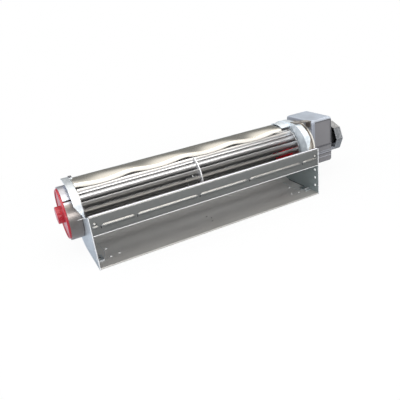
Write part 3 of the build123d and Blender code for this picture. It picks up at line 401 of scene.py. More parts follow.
def sheet_metal(name, dark, light, rough, streak=(3.0, 260.0, 260.0), crystals=260.0, bloom=0.5,
                edge=(0.85, 0.86, 0.88), marks=False, metal=0.8, lines=0.6, depth=0.06, wear_and_highlight=1.4,
                rounding=0.0005, shades=(), painted_depth_shade=None):
    """Bare or galvanised sheet: crystals and streaks in tone and roughness, bright edges that are partly
    wear and partly painted highlight, and painted shade deep in the drum between its blades."""
    material, tree, shader = new_finish(name)
    shader.inputs["Metallic"].default_value = metal
    streaks = place_group(tree, STREAKS, -900, 200, Direction_Scale=streak, Contrast=lines)
    crystal = place_group(tree, BLOOM, -900, 0, Crystal_Scale=crystals, Contrast=bloom)
    rubbed_and_highlit = place_group(tree, EDGES_WORN_AND_HIGHLIT, -900, -200, Strength=wear_and_highlight, Radius=rounding)
    tone = math_node(tree, "MULTIPLY", -650, 100, streaks.outputs[0], crystal.outputs[0])
    tone = math_node(tree, "MULTIPLY", -500, 100, tone, 2.0, clamp=True)
    colour = blend_colours(tree, -300, 200, tone, dark, light)
    colour = shaded(tree, colour, shades, -200, 400)
    colour = blend_colours(tree, -100, 200, rubbed_and_highlit.outputs["Mask"], colour, edge)
    # Painted shade: the blades darken deep between them in the drum.
    if painted_depth_shade:
        deep = place_group(tree, DRUM_SHADE, -100, 600)
        colour = blend_colours(tree, 100, 400, deep.outputs[0], colour, painted_depth_shade)
    pattern = streaks.outputs[0]
    if marks:
        rings = place_group(tree, MARKS, -900, -600)
        pattern = math_node(tree, "ADD", -650, -450, pattern, rings.outputs[0])
        pattern = math_node(tree, "MULTIPLY", -500, -450, pattern, 0.5)
    roughness = spread(tree, -300, -50, crystal.outputs[0], rough[0], rough[1])
    join(tree, colour, shader.inputs["Base Color"])
    join(tree, roughness, shader.inputs["Roughness"])
    relief(tree, shader, pattern, rubbed_and_highlit.outputs["Normal"], depth, 0.0002)
    return material


def moulded(name, dark, light, rough, grain=2600.0, depth=0.25, edge=None, coat=0.0, shades=(), lit_top=None):
    """Moulded plastic or rubber: clouded colour, fine grain, softly rounded edges, and painted light on
    faces that look up, given as its amount and colour."""
    material, tree, shader = new_finish(name)
    fine = place_group(tree, GRAIN, -700, 0, Grain_Scale=grain)
    wear_and_highlight = place_group(tree, EDGES_WORN_AND_HIGHLIT, -700, -250, Strength=0.8)
    colour = blend_colours(tree, -300, 200, fine.outputs["Cloud"], dark, light)
    colour = shaded(tree, colour, shades, -200, 400)
    # On plastic and rubber the lighter edge colour is a painted highlight.
    if edge:
        colour = blend_colours(tree, -100, 200, wear_and_highlight.outputs["Mask"], colour, edge)
    # Painted light: faces that look up are lightened in patches.
    if lit_top:
        lit_top_mask = place_group(tree, TOP_LIGHT_PATCHES, -300, 600, Amount=lit_top[0])
        colour = blend_colours(tree, 100, 400, lit_top_mask.outputs[0], colour, lit_top[1])
    join(tree, colour, shader.inputs["Base Color"])
    roughness = spread(tree, -300, -50, fine.outputs["Cloud"], rough[0], rough[1])
    join(tree, roughness, shader.inputs["Roughness"])
    shader.inputs["Coat Weight"].default_value = coat
    relief(tree, shader, fine.outputs["Height"], wear_and_highlight.outputs["Normal"], depth, 0.0001)
    return material


# Ways that a finish runs along the model: stretch of the streaks, and directions of the shades
ROUND = (260.0, 60.0, 60.0)
UPRIGHT = (200.0, 200.0, 4.0)
TO_MOTOR = (1.0, 0.0, 0.0)
FROM_MOTOR = (-1.0, 0.0, 0.0)
TO_REAR = (0.0, 1.0, 0.0)
TO_OUTLET = (0.0, -1.0, 0.0)
UPWARD = (0.0, 0.0, 1.0)
DOWNWARD = (0.0, 0.0, -1.0)

# Reds of the silicone; the last is a painted highlight on its edges
SOFT_RED = (0.40, 0.012, 0.028)
SOFT_RED_LIGHT = (0.50, 0.022, 0.042)
SOFT_RED_HIGHLIGHT = (0.62, 0.10, 0.15)

# One finish for each material slot
FINISHES = {
    "plate_sheet": sheet_metal(
        "galvanised plate", (0.56, 0.61, 0.66), (0.72, 0.77, 0.82), (0.34, 0.46),
        streak=UPRIGHT, metal=0.7, wear_and_highlight=2.4, edge=(0.96, 0.97, 0.98)),
    # The floor is painted lighter towards its rear, where the strip and the rotor shade it: painted light.
    # Above the floor the walls take one middle tone.
    "scroll_sheet": sheet_metal(
        "galvanised scroll", (0.36, 0.35, 0.335), (0.48, 0.475, 0.46), (0.30, 0.34),
        streak=(12.0, 38.0, 38.0), bloom=0.02, metal=0.25, lines=1.7, depth=0.0, wear_and_highlight=0.5,
        shades=((TO_REAR, -0.058, -0.005, (0.95, 0.94, 0.92)),
                (UPWARD, 0.010, 0.022, (0.56, 0.565, 0.56)))),
    # Painted shadow: the carrier darkens towards its end beside the motor cover.
    "carrier_sheet": sheet_metal(
        "drawn carrier", (0.74, 0.71, 0.64), (0.88, 0.85, 0.78), (0.26, 0.34),
        streak=ROUND, bloom=0.2, marks=True, metal=0.7,
        shades=((TO_MOTOR, cover_low[0] - 0.012, cover_low[0] - 0.003, (0.26, 0.20, 0.16)),)),
    # The silicone's edges get a painted highlight.
    "silicone": moulded(
        "red silicone", SOFT_RED, SOFT_RED_LIGHT, (0.30, 0.40),
        grain=1400.0, depth=0.08, edge=SOFT_RED_HIGHLIGHT, coat=0.25),
    "damping_rubber": moulded(
        "cream rubber", (0.62, 0.60, 0.55), (0.72, 0.70, 0.65), (0.45, 0.60), depth=0.1),
    "bronze": sheet_metal(
        "sintered bronze", (0.30, 0.19, 0.09), (0.48, 0.32, 0.16), (0.40, 0.60),
        bloom=0.9, crystals=1500.0),
    "rivet": sheet_metal(
        "rivet", (0.45, 0.46, 0.47), (0.60, 0.61, 0.62), (0.30, 0.42), crystals=700.0),
    # The blades darken towards the inside of the drum: painted shade between them.
    "blade_sheet": sheet_metal(
        "rolled blade sheet", (0.56, 0.555, 0.555), (0.63, 0.625, 0.625), (0.28, 0.32),
        bloom=0.1, edge=(0.92, 0.90, 0.86), metal=0.9, lines=0.15, depth=0.0, wear_and_highlight=0.0,
        rounding=0.0001, painted_depth_shade=(0.235, 0.235, 0.25)),
    "disc_sheet": sheet_metal(
        "stamped disc", (0.38, 0.38, 0.38), (0.60, 0.60, 0.61), (0.25, 0.40),
        streak=ROUND, marks=True),
    "ring_sheet": sheet_metal(
        "stamped ring", (0.90, 0.90, 0.92), (0.97, 0.97, 0.98), (0.40, 0.50),
        streak=ROUND, bloom=0.2, metal=0.2),
    "shaft_steel": sheet_metal(
        "ground shaft", (0.42, 0.42, 0.43), (0.62, 0.62, 0.64), (0.16, 0.28),
        streak=ROUND, bloom=0.2),
    "core_steel": sheet_metal(
        "stacked laminations", (0.10, 0.10, 0.11), (0.22, 0.21, 0.21), (0.35, 0.55),
        streak=(2400.0, 6.0, 6.0), bloom=0.3),
    "copper": sheet_metal(
        "enamelled copper", (0.32, 0.11, 0.04), (0.52, 0.20, 0.08), (0.22, 0.35),
        streak=(900.0, 40.0, 900.0), bloom=0.3, edge=(0.70, 0.34, 0.16)),
    "bobbin_plastic": moulded(
        "bobbin nylon", (0.60, 0.57, 0.48), (0.72, 0.69, 0.60), (0.35, 0.5)),
    "bracket_steel": sheet_metal(
        "zinc plated bracket", (0.50, 0.49, 0.48), (0.62, 0.61, 0.60), (0.32, 0.42),
        bloom=0.2, lines=0.3, depth=0.0, wear_and_highlight=0.3, rounding=0.0002),
    "terminal_tin": sheet_metal(
        "tinned terminal", (0.55, 0.55, 0.52), (0.72, 0.72, 0.69), (0.28, 0.42)),
    # The grey cover gets painted light: its top and a band at its end beside the carrier are lightened, and
    # its edges get a painted highlight.
    "cover_plastic": moulded(
        "grey cover", (0.166, 0.162, 0.172), (0.192, 0.188, 0.198), (0.30, 0.38),
        grain=2200.0, depth=0.2, edge=(0.34, 0.36, 0.42), lit_top=(1.7, (0.50, 0.55, 0.63)),
        shades=((FROM_MOTOR, -cover_low[0] - 0.0056, -cover_low[0] - 0.0036, (0.28, 0.30, 0.35)),)),
    "wheel_sheet": sheet_metal(
        "stamped wheel", (0.27, 0.28, 0.295), (0.42, 0.43, 0.45), (0.34, 0.50),
        crystals=420.0, bloom=0.8, streak=ROUND, metal=0.7),
    # The near-black hub fills the inside of the cooling wheel: painted shade.
    "hub_plastic": moulded(
        "hub in painted shade", (0.008, 0.008, 0.008), (0.02, 0.02, 0.02), (0.35, 0.5)),
}

# Finishes of trim, and of nodes that look unlike the rest of their slot
LIP_FINISH = sheet_metal(
    "wavy lip zinc", (0.62, 0.61, 0.58), (0.72, 0.71, 0.68), (0.20, 0.25),
    streak=(3.0, 60.0, 60.0), bloom=0.05, metal=0.92, depth=0.0, wear_and_highlight=0.2, rounding=0.0002)
# The curl is pale cream and little metallic: a painted reflection of the warm ceiling.
CURL_REFLECTION_FINISH = sheet_metal(
    "turned lip edge", (0.80, 0.76, 0.70), (0.90, 0.86, 0.80), (0.40, 0.50),
    bloom=0.1, metal=0.15, lines=0.3, depth=0.0, wear_and_highlight=0.0, rounding=0.0002)
HOOK_FINISH = sheet_metal(
    "shaded hook", (0.10, 0.10, 0.115), (0.16, 0.16, 0.18), (0.35, 0.45), metal=0.4, wear_and_highlight=0.2)
STRIP_FINISH = sheet_metal(
    "front strip zinc", (0.36, 0.36, 0.345), (0.46, 0.455, 0.44), (0.26, 0.34),
    bloom=0.2, metal=0.9, lines=0.3, depth=0.02, wear_and_highlight=0.25, rounding=0.0013, edge=(0.80, 0.80, 0.82))
# The cup is painted lighter above its slit, as painted light on its upper tab, and darker below, as painted
# shade under the tab.
CUP_FINISH = sheet_metal(
    "drawn cup zinc", (0.29, 0.26, 0.245), (0.38, 0.345, 0.325), (0.26, 0.36),
    streak=ROUND, bloom=0.35, metal=0.75, lines=0.3, depth=0.03, wear_and_highlight=0.8,
    shades=((UPWARD, CUP_SLIT_Z - 0.001, CUP_SLIT_Z + 0.001, (0.56, 0.57, 0.63)),))
# Inside the cup the mount's silicone is painted near black: painted shade. Its edges get a painted
# highlight.
MOUNT_FINISH = moulded(
    "red bearing mount", SOFT_RED, SOFT_RED_LIGHT, (0.30, 0.40),
    grain=1400.0, depth=0.08, edge=SOFT_RED_HIGHLIGHT, coat=0.25,
    shades=((TO_MOTOR, CUP_END_X + 0.0005, CUP_END_X + 0.0020, (0.03, 0.012, 0.016)),))
# The drive hub is painted a much brighter red than the same silicone of the mount: painted light inside the
# shaded drum.
HUB_FINISH = moulded(
    "red drive hub", (0.72, 0.012, 0.022), (0.84, 0.02, 0.035), (0.30, 0.40), depth=0.1)
# The strap is painted dark as painted shade between the arch and the cover, and its top lighter as painted
# light.
STRAP_FINISH = moulded(
    "darkened strap", (0.10, 0.088, 0.080), (0.16, 0.145, 0.135), (0.30, 0.40),
    depth=0.05, coat=0.4, lit_top=(1.2, (0.55, 0.53, 0.50)))
# A lighter copy of the plate zinc, as painted light on the arch, which darkens low down on its inner face as
# painted shade.
RIGHT_PLATE_FINISH = sheet_metal(
    "right plate zinc", (0.66, 0.73, 0.79), (0.82, 0.88, 0.93), (0.34, 0.46),
    streak=UPRIGHT, bloom=0.8, metal=0.35, wear_and_highlight=2.0, edge=(0.96, 0.97, 0.98),
    shades=((DOWNWARD, -0.056, -0.044, (0.34, 0.39, 0.40)),))
# Near-white beads along the strip's top edge and the sheets' cut edges, and the latch: painted highlights.
TOP_EDGE_HIGHLIGHT = sheet_metal(
    "bright top edge", (0.84, 0.84, 0.92), (0.94, 0.94, 1.0), (0.35, 0.45),
    bloom=0.2, metal=0.1, wear_and_highlight=0.0)
# Dark beads for the cover's seam, and painted shade at its ledges and panel step.
GROOVE_AND_SHADE_FINISH = moulded(
    "cover groove and painted shade", (0.075, 0.075, 0.085), (0.10, 0.10, 0.11), (0.4, 0.5), depth=0.1)
CUT_EDGE_HIGHLIGHT = sheet_metal(
    "sheared edge highlight", (0.82, 0.83, 0.85), (0.94, 0.94, 0.95), (0.40, 0.50),
    bloom=0.2, metal=0.3, wear_and_highlight=0.2)
MARK_FINISH = moulded(
    "shadowed gap", (0.020, 0.020, 0.022), (0.035, 0.035, 0.038), (0.6, 0.8), depth=0.1)
# Ledges lighter than the cover: painted highlights.
LEDGE_HIGHLIGHT_FINISH = moulded(
    "cover ledge highlight", (0.34, 0.35, 0.39), (0.42, 0.43, 0.47), (0.32, 0.42),
    grain=2200.0, depth=0.15)
NODE_FINISHES = {"vortex_tongue": STRIP_FINISH, "sheet_rivets": STRIP_FINISH,
                 "bearing_cup": CUP_FINISH, "bearing_mount": MOUNT_FINISH,
                 "drive_hub": HUB_FINISH, "motor_strap": STRAP_FINISH,
                 "right_end_plate": RIGHT_PLATE_FINISH}


def dress_nodes():
    """Give each CAD node its own finish, or else that of its slot."""
    slots = {item["node"]: item["material_slot"] for item in frame["record"]["subparts"]}
    for name, obj in frame["nodes"].items():
        for slot in obj.material_slots:
            slot.material = NODE_FINISHES.get(name, FINISHES[slots[name]])


def finish_piece(name, data, finish, body="casing"):
    """Put a mesh or curve into the scene, on its body and with its finish."""
    piece = bpy.data.objects.new(name, data)
    bpy.context.collection.objects.link(piece)
    data.materials.append(finish)
    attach(piece, body)
    return piece


def skin(name, rows, finish, body="casing", thickness=0.0):
    """A smooth sheet through rows of points, thickened on its inner side."""
    grid = bmesh.new()
    corners = [[grid.verts.new(point) for point in row] for row in rows]
    for low, high in zip(corners, corners[1:]):
        for a, b, c, d in zip(low, low[1:], high[1:], high):
            grid.faces.new((a, b, c, d)).smooth = True
    mesh = bpy.data.meshes.new(name)
    grid.to_mesh(mesh)
    grid.free()
    piece = finish_piece(name, mesh, finish, body)
    if thickness:
        wall = piece.modifiers.new("wall", "SOLIDIFY")
        wall.thickness = thickness
        wall.offset = -1.0


def bead(name, points, radius, finish):
    """A round bead or wire along points."""
    data = bpy.data.curves.new(name, "CURVE")
    data.dimensions = "3D"
    data.bevel_depth = radius
    data.bevel_resolution = 3
    data.use_fill_caps = True
    line = data.splines.new("POLY")
    line.points.add(len(points) - 1)
    for place, point in zip(line.points, points):
        place.co = (*point, 1.0)
    finish_piece(name, data, finish)


def plate_piece(name, outline, thickness, finish, facing=UPWARD):
    """A flat sheet piece with the given outline, thickened towards the side that it faces."""
    flat = bmesh.new()
    face = flat.faces.new([flat.verts.new(point) for point in outline])
    face.normal_update()
    if face.normal.dot(Vector(facing)) < 0:
        face.normal_flip()
    mesh = bpy.data.meshes.new(name)
    flat.to_mesh(mesh)
    flat.free()
    piece = finish_piece(name, mesh, finish)
    wall = piece.modifiers.new("wall", "SOLIDIFY")
    wall.thickness = thickness
    wall.offset = 1.0


def smooth_run(points, steps=5):
    """Points of a smooth line through the given ones."""
    run = []
    ends = [points[0], *points, points[-1]]
    for p0, p1, p2, p3 in zip(ends, ends[1:], ends[2:], ends[3:]):
        for i in range(steps):
            t = i / steps
            run.append(tuple(0.5 * (2 * b + (c - a) * t + (2 * a - 5 * b + 4 * c - d) * t ** 2
                                    + (3 * b - a - 3 * c + d) * t ** 3)
                             for a, b, c, d in zip(p0, p1, p2, p3)))
    run.append(points[-1])
    return run


def curve_point(start, pull, end, t):
    """Point at t of the curve from start to end that is drawn towards pull."""
    return tuple(a * (1 - t) ** 2 + 2 * b * t * (1 - t) + c * t ** 2
                 for a, b, c in zip(start, pull, end))


def turns(steps):
    """Angles of a full turn in equal steps, from the start round to the start again."""
    return [2 * math.pi * k / steps for k in range(steps + 1)]


def round_axis(r, angle):
    """Place across the casing at a radius and angle about the rotor axis."""
    return AXIS_Y + r * math.cos(angle), AXIS_Z + r * math.sin(angle)


# Wavy lip of the scroll: its upper face, and the curl of its front edge over the rotor
CREST = round_axis(0.0366, math.radians(71.5))
LIP_START = 0.0006
LIP_END = 0.2830
LIP_REACH = 0.0230
LIP_GAP = 0.0036
LIP_WAVE_L = 0.0687
LIP_WAVE_H = 0.0015
LIP_CROWN = 0.0009
LIP_SWELL = 0.0003
SWELL_SHIFT = 0.9
SKIN_RISE = 0.00092
SKIN_T = 0.0003
LIP_ROWS = 150
LIP_STEPS = 14
CURL_STEPS = 5
CURL_TURN = 0.105
CURL_BEND = 0.0018
CURL_LOW, CURL_HIGH = 0.0008, 0.0040


def lip_section(run):
    """Points of the lip's upper face and curl at a run along the casing."""
    x = LEFT_X + run
    phase = 2 * math.pi * run / LIP_WAVE_L
    edge_y = CREST[0] - LIP_REACH
    mean_z = AXIS_Z + math.sqrt((TIP_R + LIP_GAP) ** 2 - (edge_y - AXIS_Y) ** 2)
    edge = (edge_y, mean_z + LIP_WAVE_H * math.cos(phase))
    crown = LIP_CROWN + LIP_SWELL * (1 + math.cos(phase + SWELL_SHIFT))
    half_y, half_z = (CREST[0] + edge[0]) / 2, (CREST[1] + edge[1]) / 2
    pull = (half_y, half_z + 2 * crown)
    section = []
    for i in range(LIP_STEPS + 1):
        y, z = curve_point(CREST, pull, edge, i / LIP_STEPS)
        section.append((x, y, z + SKIN_RISE))
    (y0, z0), (y1, z1) = section[-2][1:], section[-1][1:]
    ahead = CURL_BEND / math.hypot(y1 - y0, z1 - z0)
    bend = (y1 + (y1 - y0) * ahead, z1 + (z1 - z0) * ahead)
    open_share = (0.5 + 0.5 * math.cos(phase)) ** 3
    radius = TIP_R + CURL_LOW + (CURL_HIGH - CURL_LOW) * open_share
    angle = math.atan2(z1 - AXIS_Z, y1 - AXIS_Y) + CURL_TURN
    last = round_axis(radius, angle)
    for i in range(1, CURL_STEPS + 1):
        section.append((x, *curve_point((y1, z1), bend, last, i / CURL_STEPS)))
    return section


def lip_face():
    """Shiny upper face of the lip, and its curled edge, painted pale cream as a painted reflection of the
    warm ceiling.
    """
    rows = [lip_section(LIP_START + (LIP_END - LIP_START) * i / LIP_ROWS) for i in range(LIP_ROWS + 1)]
    face = [row[:LIP_STEPS + 1] for row in rows]
    curl = [row[LIP_STEPS:] for row in rows]
    skin("lip_face", face, LIP_FINISH, thickness=SKIN_T)
    skin("lip_curl", curl, CURL_REFLECTION_FINISH, thickness=SKIN_T)


# Ribs and stop marks of the front strip
RIB_HALF_W = 0.00225
RIB_RISE = 0.00087
RIB_END_RUN = 0.0030
RIB_OVERLAP = 0.0006
STOP_HALF_W, STOP_HALF_H = 0.0006, 0.0015
STOP_PROUD = 0.00004
STOP_T = 0.00006


def strip_ribs():
    """Half-round ribs pressed into the front strip, broken where the stop marks are."""
    length = RIGHT_X - LEFT_X
    setback = RIB_BREAK / 2 - RIB_OVERLAP
    half_turn = [math.pi * j / 10 for j in range(11)]
    for number, (low, high) in enumerate(zip(RIB_STOPS, RIB_STOPS[1:])):
        start = LEFT_X + low * length + setback
        end = LEFT_X + high * length - setback
        steps = max(12, int((end - start) / 0.004))
        rows = []
        for i in range(steps + 1):
            x = start + (end - start) * (0.5 - 0.5 * math.cos(math.pi * i / steps))
            near = min(x - start, end - x, RIB_END_RUN) / RIB_END_RUN
            share = math.sqrt(max(0.0, 1 - (1 - near) ** 2))
            rise, half_w = RIB_RISE * share, RIB_HALF_W * share
            rows.append([(x, FRONT_Y - rise * math.sin(a), RIB_Z + half_w * math.cos(a)) for a in half_turn])
        skin("strip_rib_%d" % number, rows, STRIP_FINISH)


def strip_stop_marks():
    """Small dark lanced marks beside the breaks of the ribs."""
    y, z = FRONT_Y - STOP_PROUD, RIB_Z - 0.0010
    for number, stop in enumerate(RIB_STOPS[1:-1]):
        x = LEFT_X + stop * (RIGHT_X - LEFT_X) + 0.0008
        outline = [(x + STOP_HALF_W * math.cos(a), y, z + STOP_HALF_H * math.sin(a)) for a in turns(16)[:-1]]
        plate_piece("stop_mark_%d" % number, outline, STOP_T, MARK_FINISH, TO_OUTLET)


def bright_edges():
    """Near-white lines along the cut and top edges of the sheets: painted highlights where these edges catch
    the light.
    """
    y, z = FRONT_Y + 0.0005, STRIP_BOTTOM + 0.0003
    bead("strip_lower_edge", [(LEFT_X, y, z), (RIGHT_X, y, z)], 0.00045, CUT_EDGE_HIGHLIGHT)
    y, z, inset = FRONT_Y + 0.0008, STRIP_TOP - 0.0001, 0.0010
    bead("strip_top_edge", [(LEFT_X + inset, y, z), (RIGHT_X - inset, y, z)], 0.00055, TOP_EDGE_HIGHLIGHT)
    y, foot, head = FRONT_Y + 0.0003, 0.0008, STRIP_TOP - 0.0010
    for name, x in (("left_plate_edge", LEFT_X - 0.0005), ("right_plate_edge", RIGHT_X + 0.0005)):
        bead(name, [(x, y, foot), (x, y, head)], 0.00052, CUT_EDGE_HIGHLIGHT)


def left_plate_hook():
    """Small bent hook at the top of the left plate, which holds the lip."""
    low_x, high_x = LEFT_X + 0.0002, LEFT_X + 0.0039
    low_y, high_y = 0.0215, 0.0260
    z, thickness = 0.0862, 0.0012
    outline = [(low_x, low_y, z), (high_x, low_y, z), (high_x, high_y, z), (low_x, high_y, z)]
    plate_piece("left_plate_hook", outline, thickness, HOOK_FINISH)


# Bowed edge of the tabs on the floor: place from front to rear, and reach from the plate
TAB_BOW = ((0.030, 0.004), (0.0217, 0.0085), (0.006, 0.0126), (-0.010, 0.0138),
           (-0.0246, 0.0126), (-0.033, 0.0085), (-0.036, 0.0030))
TAB_T = 0.0004


def floor_tabs():
    """Thin feet of the end plates that lie on the floor, with a bowed edge."""
    for name, wall, side in (("left_floor_tab", LEFT_X, 1), ("right_floor_tab", RIGHT_X, -1)):
        edge = [(wall + side * reach, y, FLOOR_TOP) for y, reach in smooth_run(TAB_BOW)]
        outline = [(wall, TAB_BOW[0][0], FLOOR_TOP), *edge, (wall, TAB_BOW[-1][0], FLOOR_TOP)]
        plate_piece(name, outline, TAB_T, FINISHES["scroll_sheet"])
        rim = [(x, y, z + TAB_T / 2) for x, y, z in edge]
        bead(name + "_edge", rim, 0.0003, FINISHES["plate_sheet"])


def right_floor_latch():
    """Dark joint between the floor and the right plate, and a small latch before it."""
    joint = [(RIGHT_X - 0.0003, y, FLOOR_TOP + 0.0004) for y in (0.020, 0.0, -0.024)]
    bead("right_floor_joint", joint, 0.0005, MARK_FINISH)
    # The latch is near white: a painted highlight.
    x, y, z = RIGHT_X - 0.0078, -0.0350, FLOOR_TOP + 0.0005
    outline = [(x, y, z), (x + 0.0068, y + 0.0004, z), (x + 0.0072, y + 0.0034, z),
               (x + 0.0008, y + 0.0030, z)]
    plate_piece("right_floor_latch", outline, 0.0012, CUT_EDGE_HIGHLIGHT)


PIP_PLACES = ((-0.0290, -0.0160), (-0.0262, -0.0238), (-0.0290, -0.0320))
PIP_R = 0.0011
PIP_H = 0.0006


def floor_pips():
    """Small pressed pips on the floor, near its middle."""
    for number, (x, y) in enumerate(PIP_PLACES):
        rows = []
        for rise in (math.pi / 2 * i / 6 for i in range(7)):
            r, z = PIP_R * math.cos(rise), FLOOR_TOP + PIP_H * math.sin(rise)
            rows.append([(x + r * math.cos(a), y + r * math.sin(a), z) for a in turns(14)])
        skin("floor_pip_%d" % number, rows, STRIP_FINISH)


def ring_rim():
    """Rolled rim of the middle ring."""
    middle_r, half_t, half_w = RING_R - 0.0003, 0.0004, 0.0008
    rows = [[(RING_X + half_w * math.cos(b), *round_axis(middle_r + half_t * math.sin(b), a))
             for b in turns(10)] for a in turns(96)]
    skin("ring_rim", rows, FINISHES["ring_sheet"], body="rotor")


def balance_clip():
    """Small clip pushed on to a blade beside the middle ring."""
    angle = math.atan2(0.0598 - AXIS_Z, -0.0164 - AXIS_Y)
    section = ((0.0292, 0.055), (0.0310, 0.05), (0.0316, 0.02),
               (0.0316, -0.02), (0.0310, -0.05), (0.0292, -0.055))
    rows = [[(x, *round_axis(r, angle + turn)) for r, turn in section]
            for x in (-0.0413, -0.0410, -0.0406, -0.0403)]
    skin("balance_clip", rows, FINISHES["rivet"], body="rotor", thickness=SKIN_T)


# Lines of the motor cover
PANEL_STEP = 0.0006
PANEL_INSET = 0.0030
COVER_CORNER = 0.0020
SEAM_R = 0.00085
GROOVE_R = 0.00060
BESIDE_SHAFT = 0.0120


def cover_runs():
    """Lines round the front and the rear of the cover, to the middle of its outer end."""
    low_x, high_x = cover_low[0] + 0.0022, cover_high[0]
    front = cover_low[1] + PANEL_STEP
    rear = 2 * AXIS_Y - front
    x = high_x - COVER_CORNER
    quarter = [math.pi / 2 * k / 6 for k in range(7)]
    front_run = [(low_x, front)]
    front_run += [(x + COVER_CORNER * math.sin(a), front + COVER_CORNER - COVER_CORNER * math.cos(a))
                  for a in quarter]
    rear_run = [(x + COVER_CORNER * math.cos(a), rear - COVER_CORNER + COVER_CORNER * math.sin(a))
                for a in quarter]
    rear_run += [(low_x, rear)]
    return front_run, rear_run


def cover_ledges():
    """Ledges round the lower half of the motor cover, painted lighter than the cover as painted highlights,
    with the shadow between them.
    """
    front_run, rear_run = cover_runs()
    for name, z, radius, finish in (("cover_upper_ledge", 0.0390, 0.00075, LEDGE_HIGHLIGHT_FINISH),
                                    ("cover_lower_ledge", 0.0332, 0.00040, LEDGE_HIGHLIGHT_FINISH),
                                    ("cover_ledge_shadow", 0.0377, 0.00040, GROOVE_AND_SHADE_FINISH)):
        bead(name, [(x, y, z) for x, y in front_run + rear_run], radius, finish)


def cover_seam():
    """Dark seam between the halves of the cover, which stops beside the motor shaft."""
    front_run, rear_run = cover_runs()
    z, end_x = cover_low[2] - 0.0004, cover_high[0]
    for name, run in (("cover_seam_front", [*front_run, (end_x, AXIS_Y - BESIDE_SHAFT)]),
                      ("cover_seam_rear", [(end_x, AXIS_Y + BESIDE_SHAFT), *rear_run])):
        bead(name, [(x, y, z) for x, y in run], SEAM_R, GROOVE_AND_SHADE_FINISH)


def cover_panel_groove():
    """Dark line along the top and the outer side of the cover's front panel: painted shade at the foot of
    the panel's step, on its shaded sides.
    """
    x, y, z = cover_high[0] - PANEL_INSET, cover_low[1], cover_high[2] - PANEL_INSET
    path = [(cover_low[0] + 0.006, y, z), (x - 0.001, y, z), (x, y, z - 0.001), (x, y, AXIS_Z + 0.0025)]
    bead("cover_panel_groove", path, GROOVE_R, GROOVE_AND_SHADE_FINISH)


def add_trim():
    """Thin trim that the CAD nodes leave to the looks."""
    lip_face()
    strip_ribs()
    strip_stop_marks()
    bright_edges()
    left_plate_hook()
    floor_tabs()
    right_floor_latch()
    floor_pips()
    ring_rim()
    balance_clip()
    cover_ledges()
    cover_seam()
    cover_panel_groove()


# Floor, lamps and surroundings, with the tones of the studio round the fan
FLOOR_SIZE = 3.0
WHITE = (1.0, 1.0, 1.0, 1.0)
FLOOR_PAINT = (0.86, 0.87, 0.88, 1.0)
FRONT_DIM = (0.165, 0.180, 0.192)
FRONT_FAR = (0.31, 0.335, 0.36)
BACK_DIM = (0.19, 0.19, 0.175)
LEFT_COOL = (0.78, 0.85, 0.95)
CEILING_WARM = (1.44, 1.36, 1.24)
PLAIN_LIGHT = (0.58, 0.59, 0.60)


def mirrored_rays(tree, x, y):
    """The light path, and a mask of the rays that a surface throws back or lets through."""
    path = add(tree, "ShaderNodeLightPath", x, y)
    both = math_node(tree, "MAXIMUM", x + 200, y, path.outputs["Is Glossy Ray"],
                     path.outputs["Is Transmission Ray"])
    return path, both


def floor_finish():
    """White paper to the eye with a soft shadow near the fan. What metal mirrors of it is
    dim before the fan and cool behind it."""
    material = bpy.data.materials.new("pale floor")
    material.use_nodes = True
    tree = material.node_tree
    tree.nodes.clear()
    out = add(tree, "ShaderNodeOutputMaterial", 600, 0)
    paint = add(tree, "ShaderNodeBsdfDiffuse", -200, 100)
    paint.inputs["Color"].default_value = FLOOR_PAINT
    white = add(tree, "ShaderNodeEmission", -200, -50)
    white.inputs["Color"].default_value = WHITE
    seen = add(tree, "ShaderNodeEmission", -200, -200)
    place = add(tree, "ShaderNodeTexCoord", -900, -300)
    parts = add(tree, "ShaderNodeSeparateXYZ", -740, -300)
    join(tree, place.outputs["Object"], parts.inputs[0])
    behind = soft_step(tree, parts.outputs[1], -0.10, 0.10, -560, -300)
    near = soft_step(tree, parts.outputs[1], -0.23, -0.13, -560, -600)
    front = blend_colours(tree, -380, -600, near, FRONT_FAR, FRONT_DIM)
    tone = blend_colours(tree, -380, -300, behind, front, LEFT_COOL)
    join(tree, tone, seen.inputs["Color"])
    far = add(tree, "ShaderNodeVectorMath", -740, 500, operation="LENGTH")
    join(tree, place.outputs["Object"], far.inputs[0])
    open_floor = soft_step(tree, far.outputs["Value"], 0.22, 0.45, -560, 500)
    share = spread(tree, -400, 500, open_floor, 0.93, 1.0)
    path, mirrored = mirrored_rays(tree, -900, 300)
    kept = math_node(tree, "MULTIPLY", -200, 300, path.outputs["Is Camera Ray"], share)
    lit = mix_shaders(tree, 50, 0, kept, paint.outputs[0], white.outputs[0])
    whole = mix_shaders(tree, 300, 0, mirrored, lit, seen.outputs[0])
    join(tree, whole, out.inputs[0])
    return material


def pale_floor():
    """The floor that the fan stands on, which is no piece of it."""
    mesh = bpy.data.meshes.new("floor")
    half = FLOOR_SIZE / 2
    corners = [(-half, -half, 0), (half, -half, 0), (half, half, 0), (-half, half, 0)]
    mesh.from_pydata([Vector(c) for c in corners], [], [(0, 1, 2, 3)])
    floor = bpy.data.objects.new("floor", mesh)
    bpy.context.collection.objects.link(floor)
    mesh.materials.append(floor_finish())


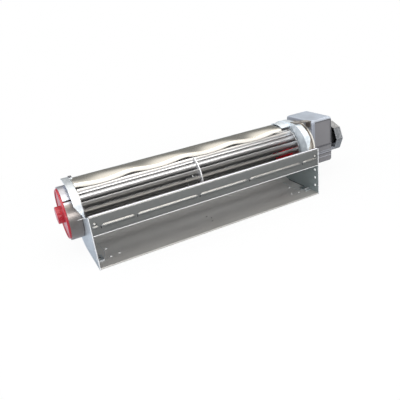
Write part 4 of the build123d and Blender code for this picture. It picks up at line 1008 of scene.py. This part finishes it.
def studio_world():
    """A white backdrop to the eye. Metal throws back a studio with a pale ceiling, a cool left side
    and a dim horizon, and plain soft light comes from all round."""
    world = bpy.data.worlds.new("studio")
    bpy.context.scene.world = world
    world.use_nodes = True
    tree = world.node_tree
    tree.nodes.clear()
    out = add(tree, "ShaderNodeOutputWorld", 900, 0)
    way = add(tree, "ShaderNodeTexCoord", -1000, 0)
    parts = add(tree, "ShaderNodeSeparateXYZ", -820, 0)
    join(tree, way.outputs["Generated"], parts.inputs[0])
    ceiling = soft_step(tree, parts.outputs[2], 0.47, 0.74, -620, 200)
    left = soft_step(tree, parts.outputs[0], 0.05, -0.55, -620, 0)
    back = soft_step(tree, parts.outputs[1], -0.35, 0.55, -620, -200)
    colour = blend_colours(tree, -400, 100, back, FRONT_DIM, BACK_DIM)
    colour = blend_colours(tree, -200, 100, left, colour, LEFT_COOL)
    colour = blend_colours(tree, 0, 100, ceiling, colour, CEILING_WARM)
    room = add(tree, "ShaderNodeBackground", 250, 100)
    join(tree, colour, room.inputs["Color"])
    plain = add(tree, "ShaderNodeBackground", 250, 250)
    plain.inputs["Color"].default_value = (*PLAIN_LIGHT, 1.0)
    white = add(tree, "ShaderNodeBackground", 250, -100)
    white.inputs["Color"].default_value = WHITE
    path, mirrored = mirrored_rays(tree, 0, 450)
    light = mix_shaders(tree, 480, 150, mirrored, plain.outputs[0], room.outputs[0])
    whole = mix_shaders(tree, 680, 0, path.outputs["Is Camera Ray"], light, white.outputs[0])
    join(tree, whole, out.inputs[0])


def soft_lamp(name, place, target, size, power, colour):
    """A wide lamp at a place, turned to a target."""
    data = bpy.data.lights.new(name, "AREA")
    data.shape = "RECTANGLE"
    data.size, data.size_y = size
    data.energy = power
    data.color = colour
    lamp = bpy.data.objects.new(name, data)
    lamp.location = place
    lamp.rotation_euler = (Vector(target) - Vector(place)).to_track_quat("-Z", "Y").to_euler()
    bpy.context.collection.objects.link(lamp)


place_camera()
dress_nodes()
add_trim()
pale_floor()
studio_world()
soft_lamp("ceiling lamp", (-0.10, -0.35, 1.10), (0.0, 0.0, 0.05), (1.6, 0.9), 9.0, (1.0, 0.98, 0.95))
soft_lamp("left lamp", (-1.10, -0.05, 0.55), (-0.1, 0.0, 0.05), (0.8, 0.8), 3.2, (0.90, 0.95, 1.0))
soft_lamp("front lamp", (0.10, -1.30, 0.22), (0.0, 0.0, 0.02), (1.4, 0.3), 7.0, (1.0, 0.99, 0.97))

bpy.context.scene.view_settings.view_transform = "Standard"
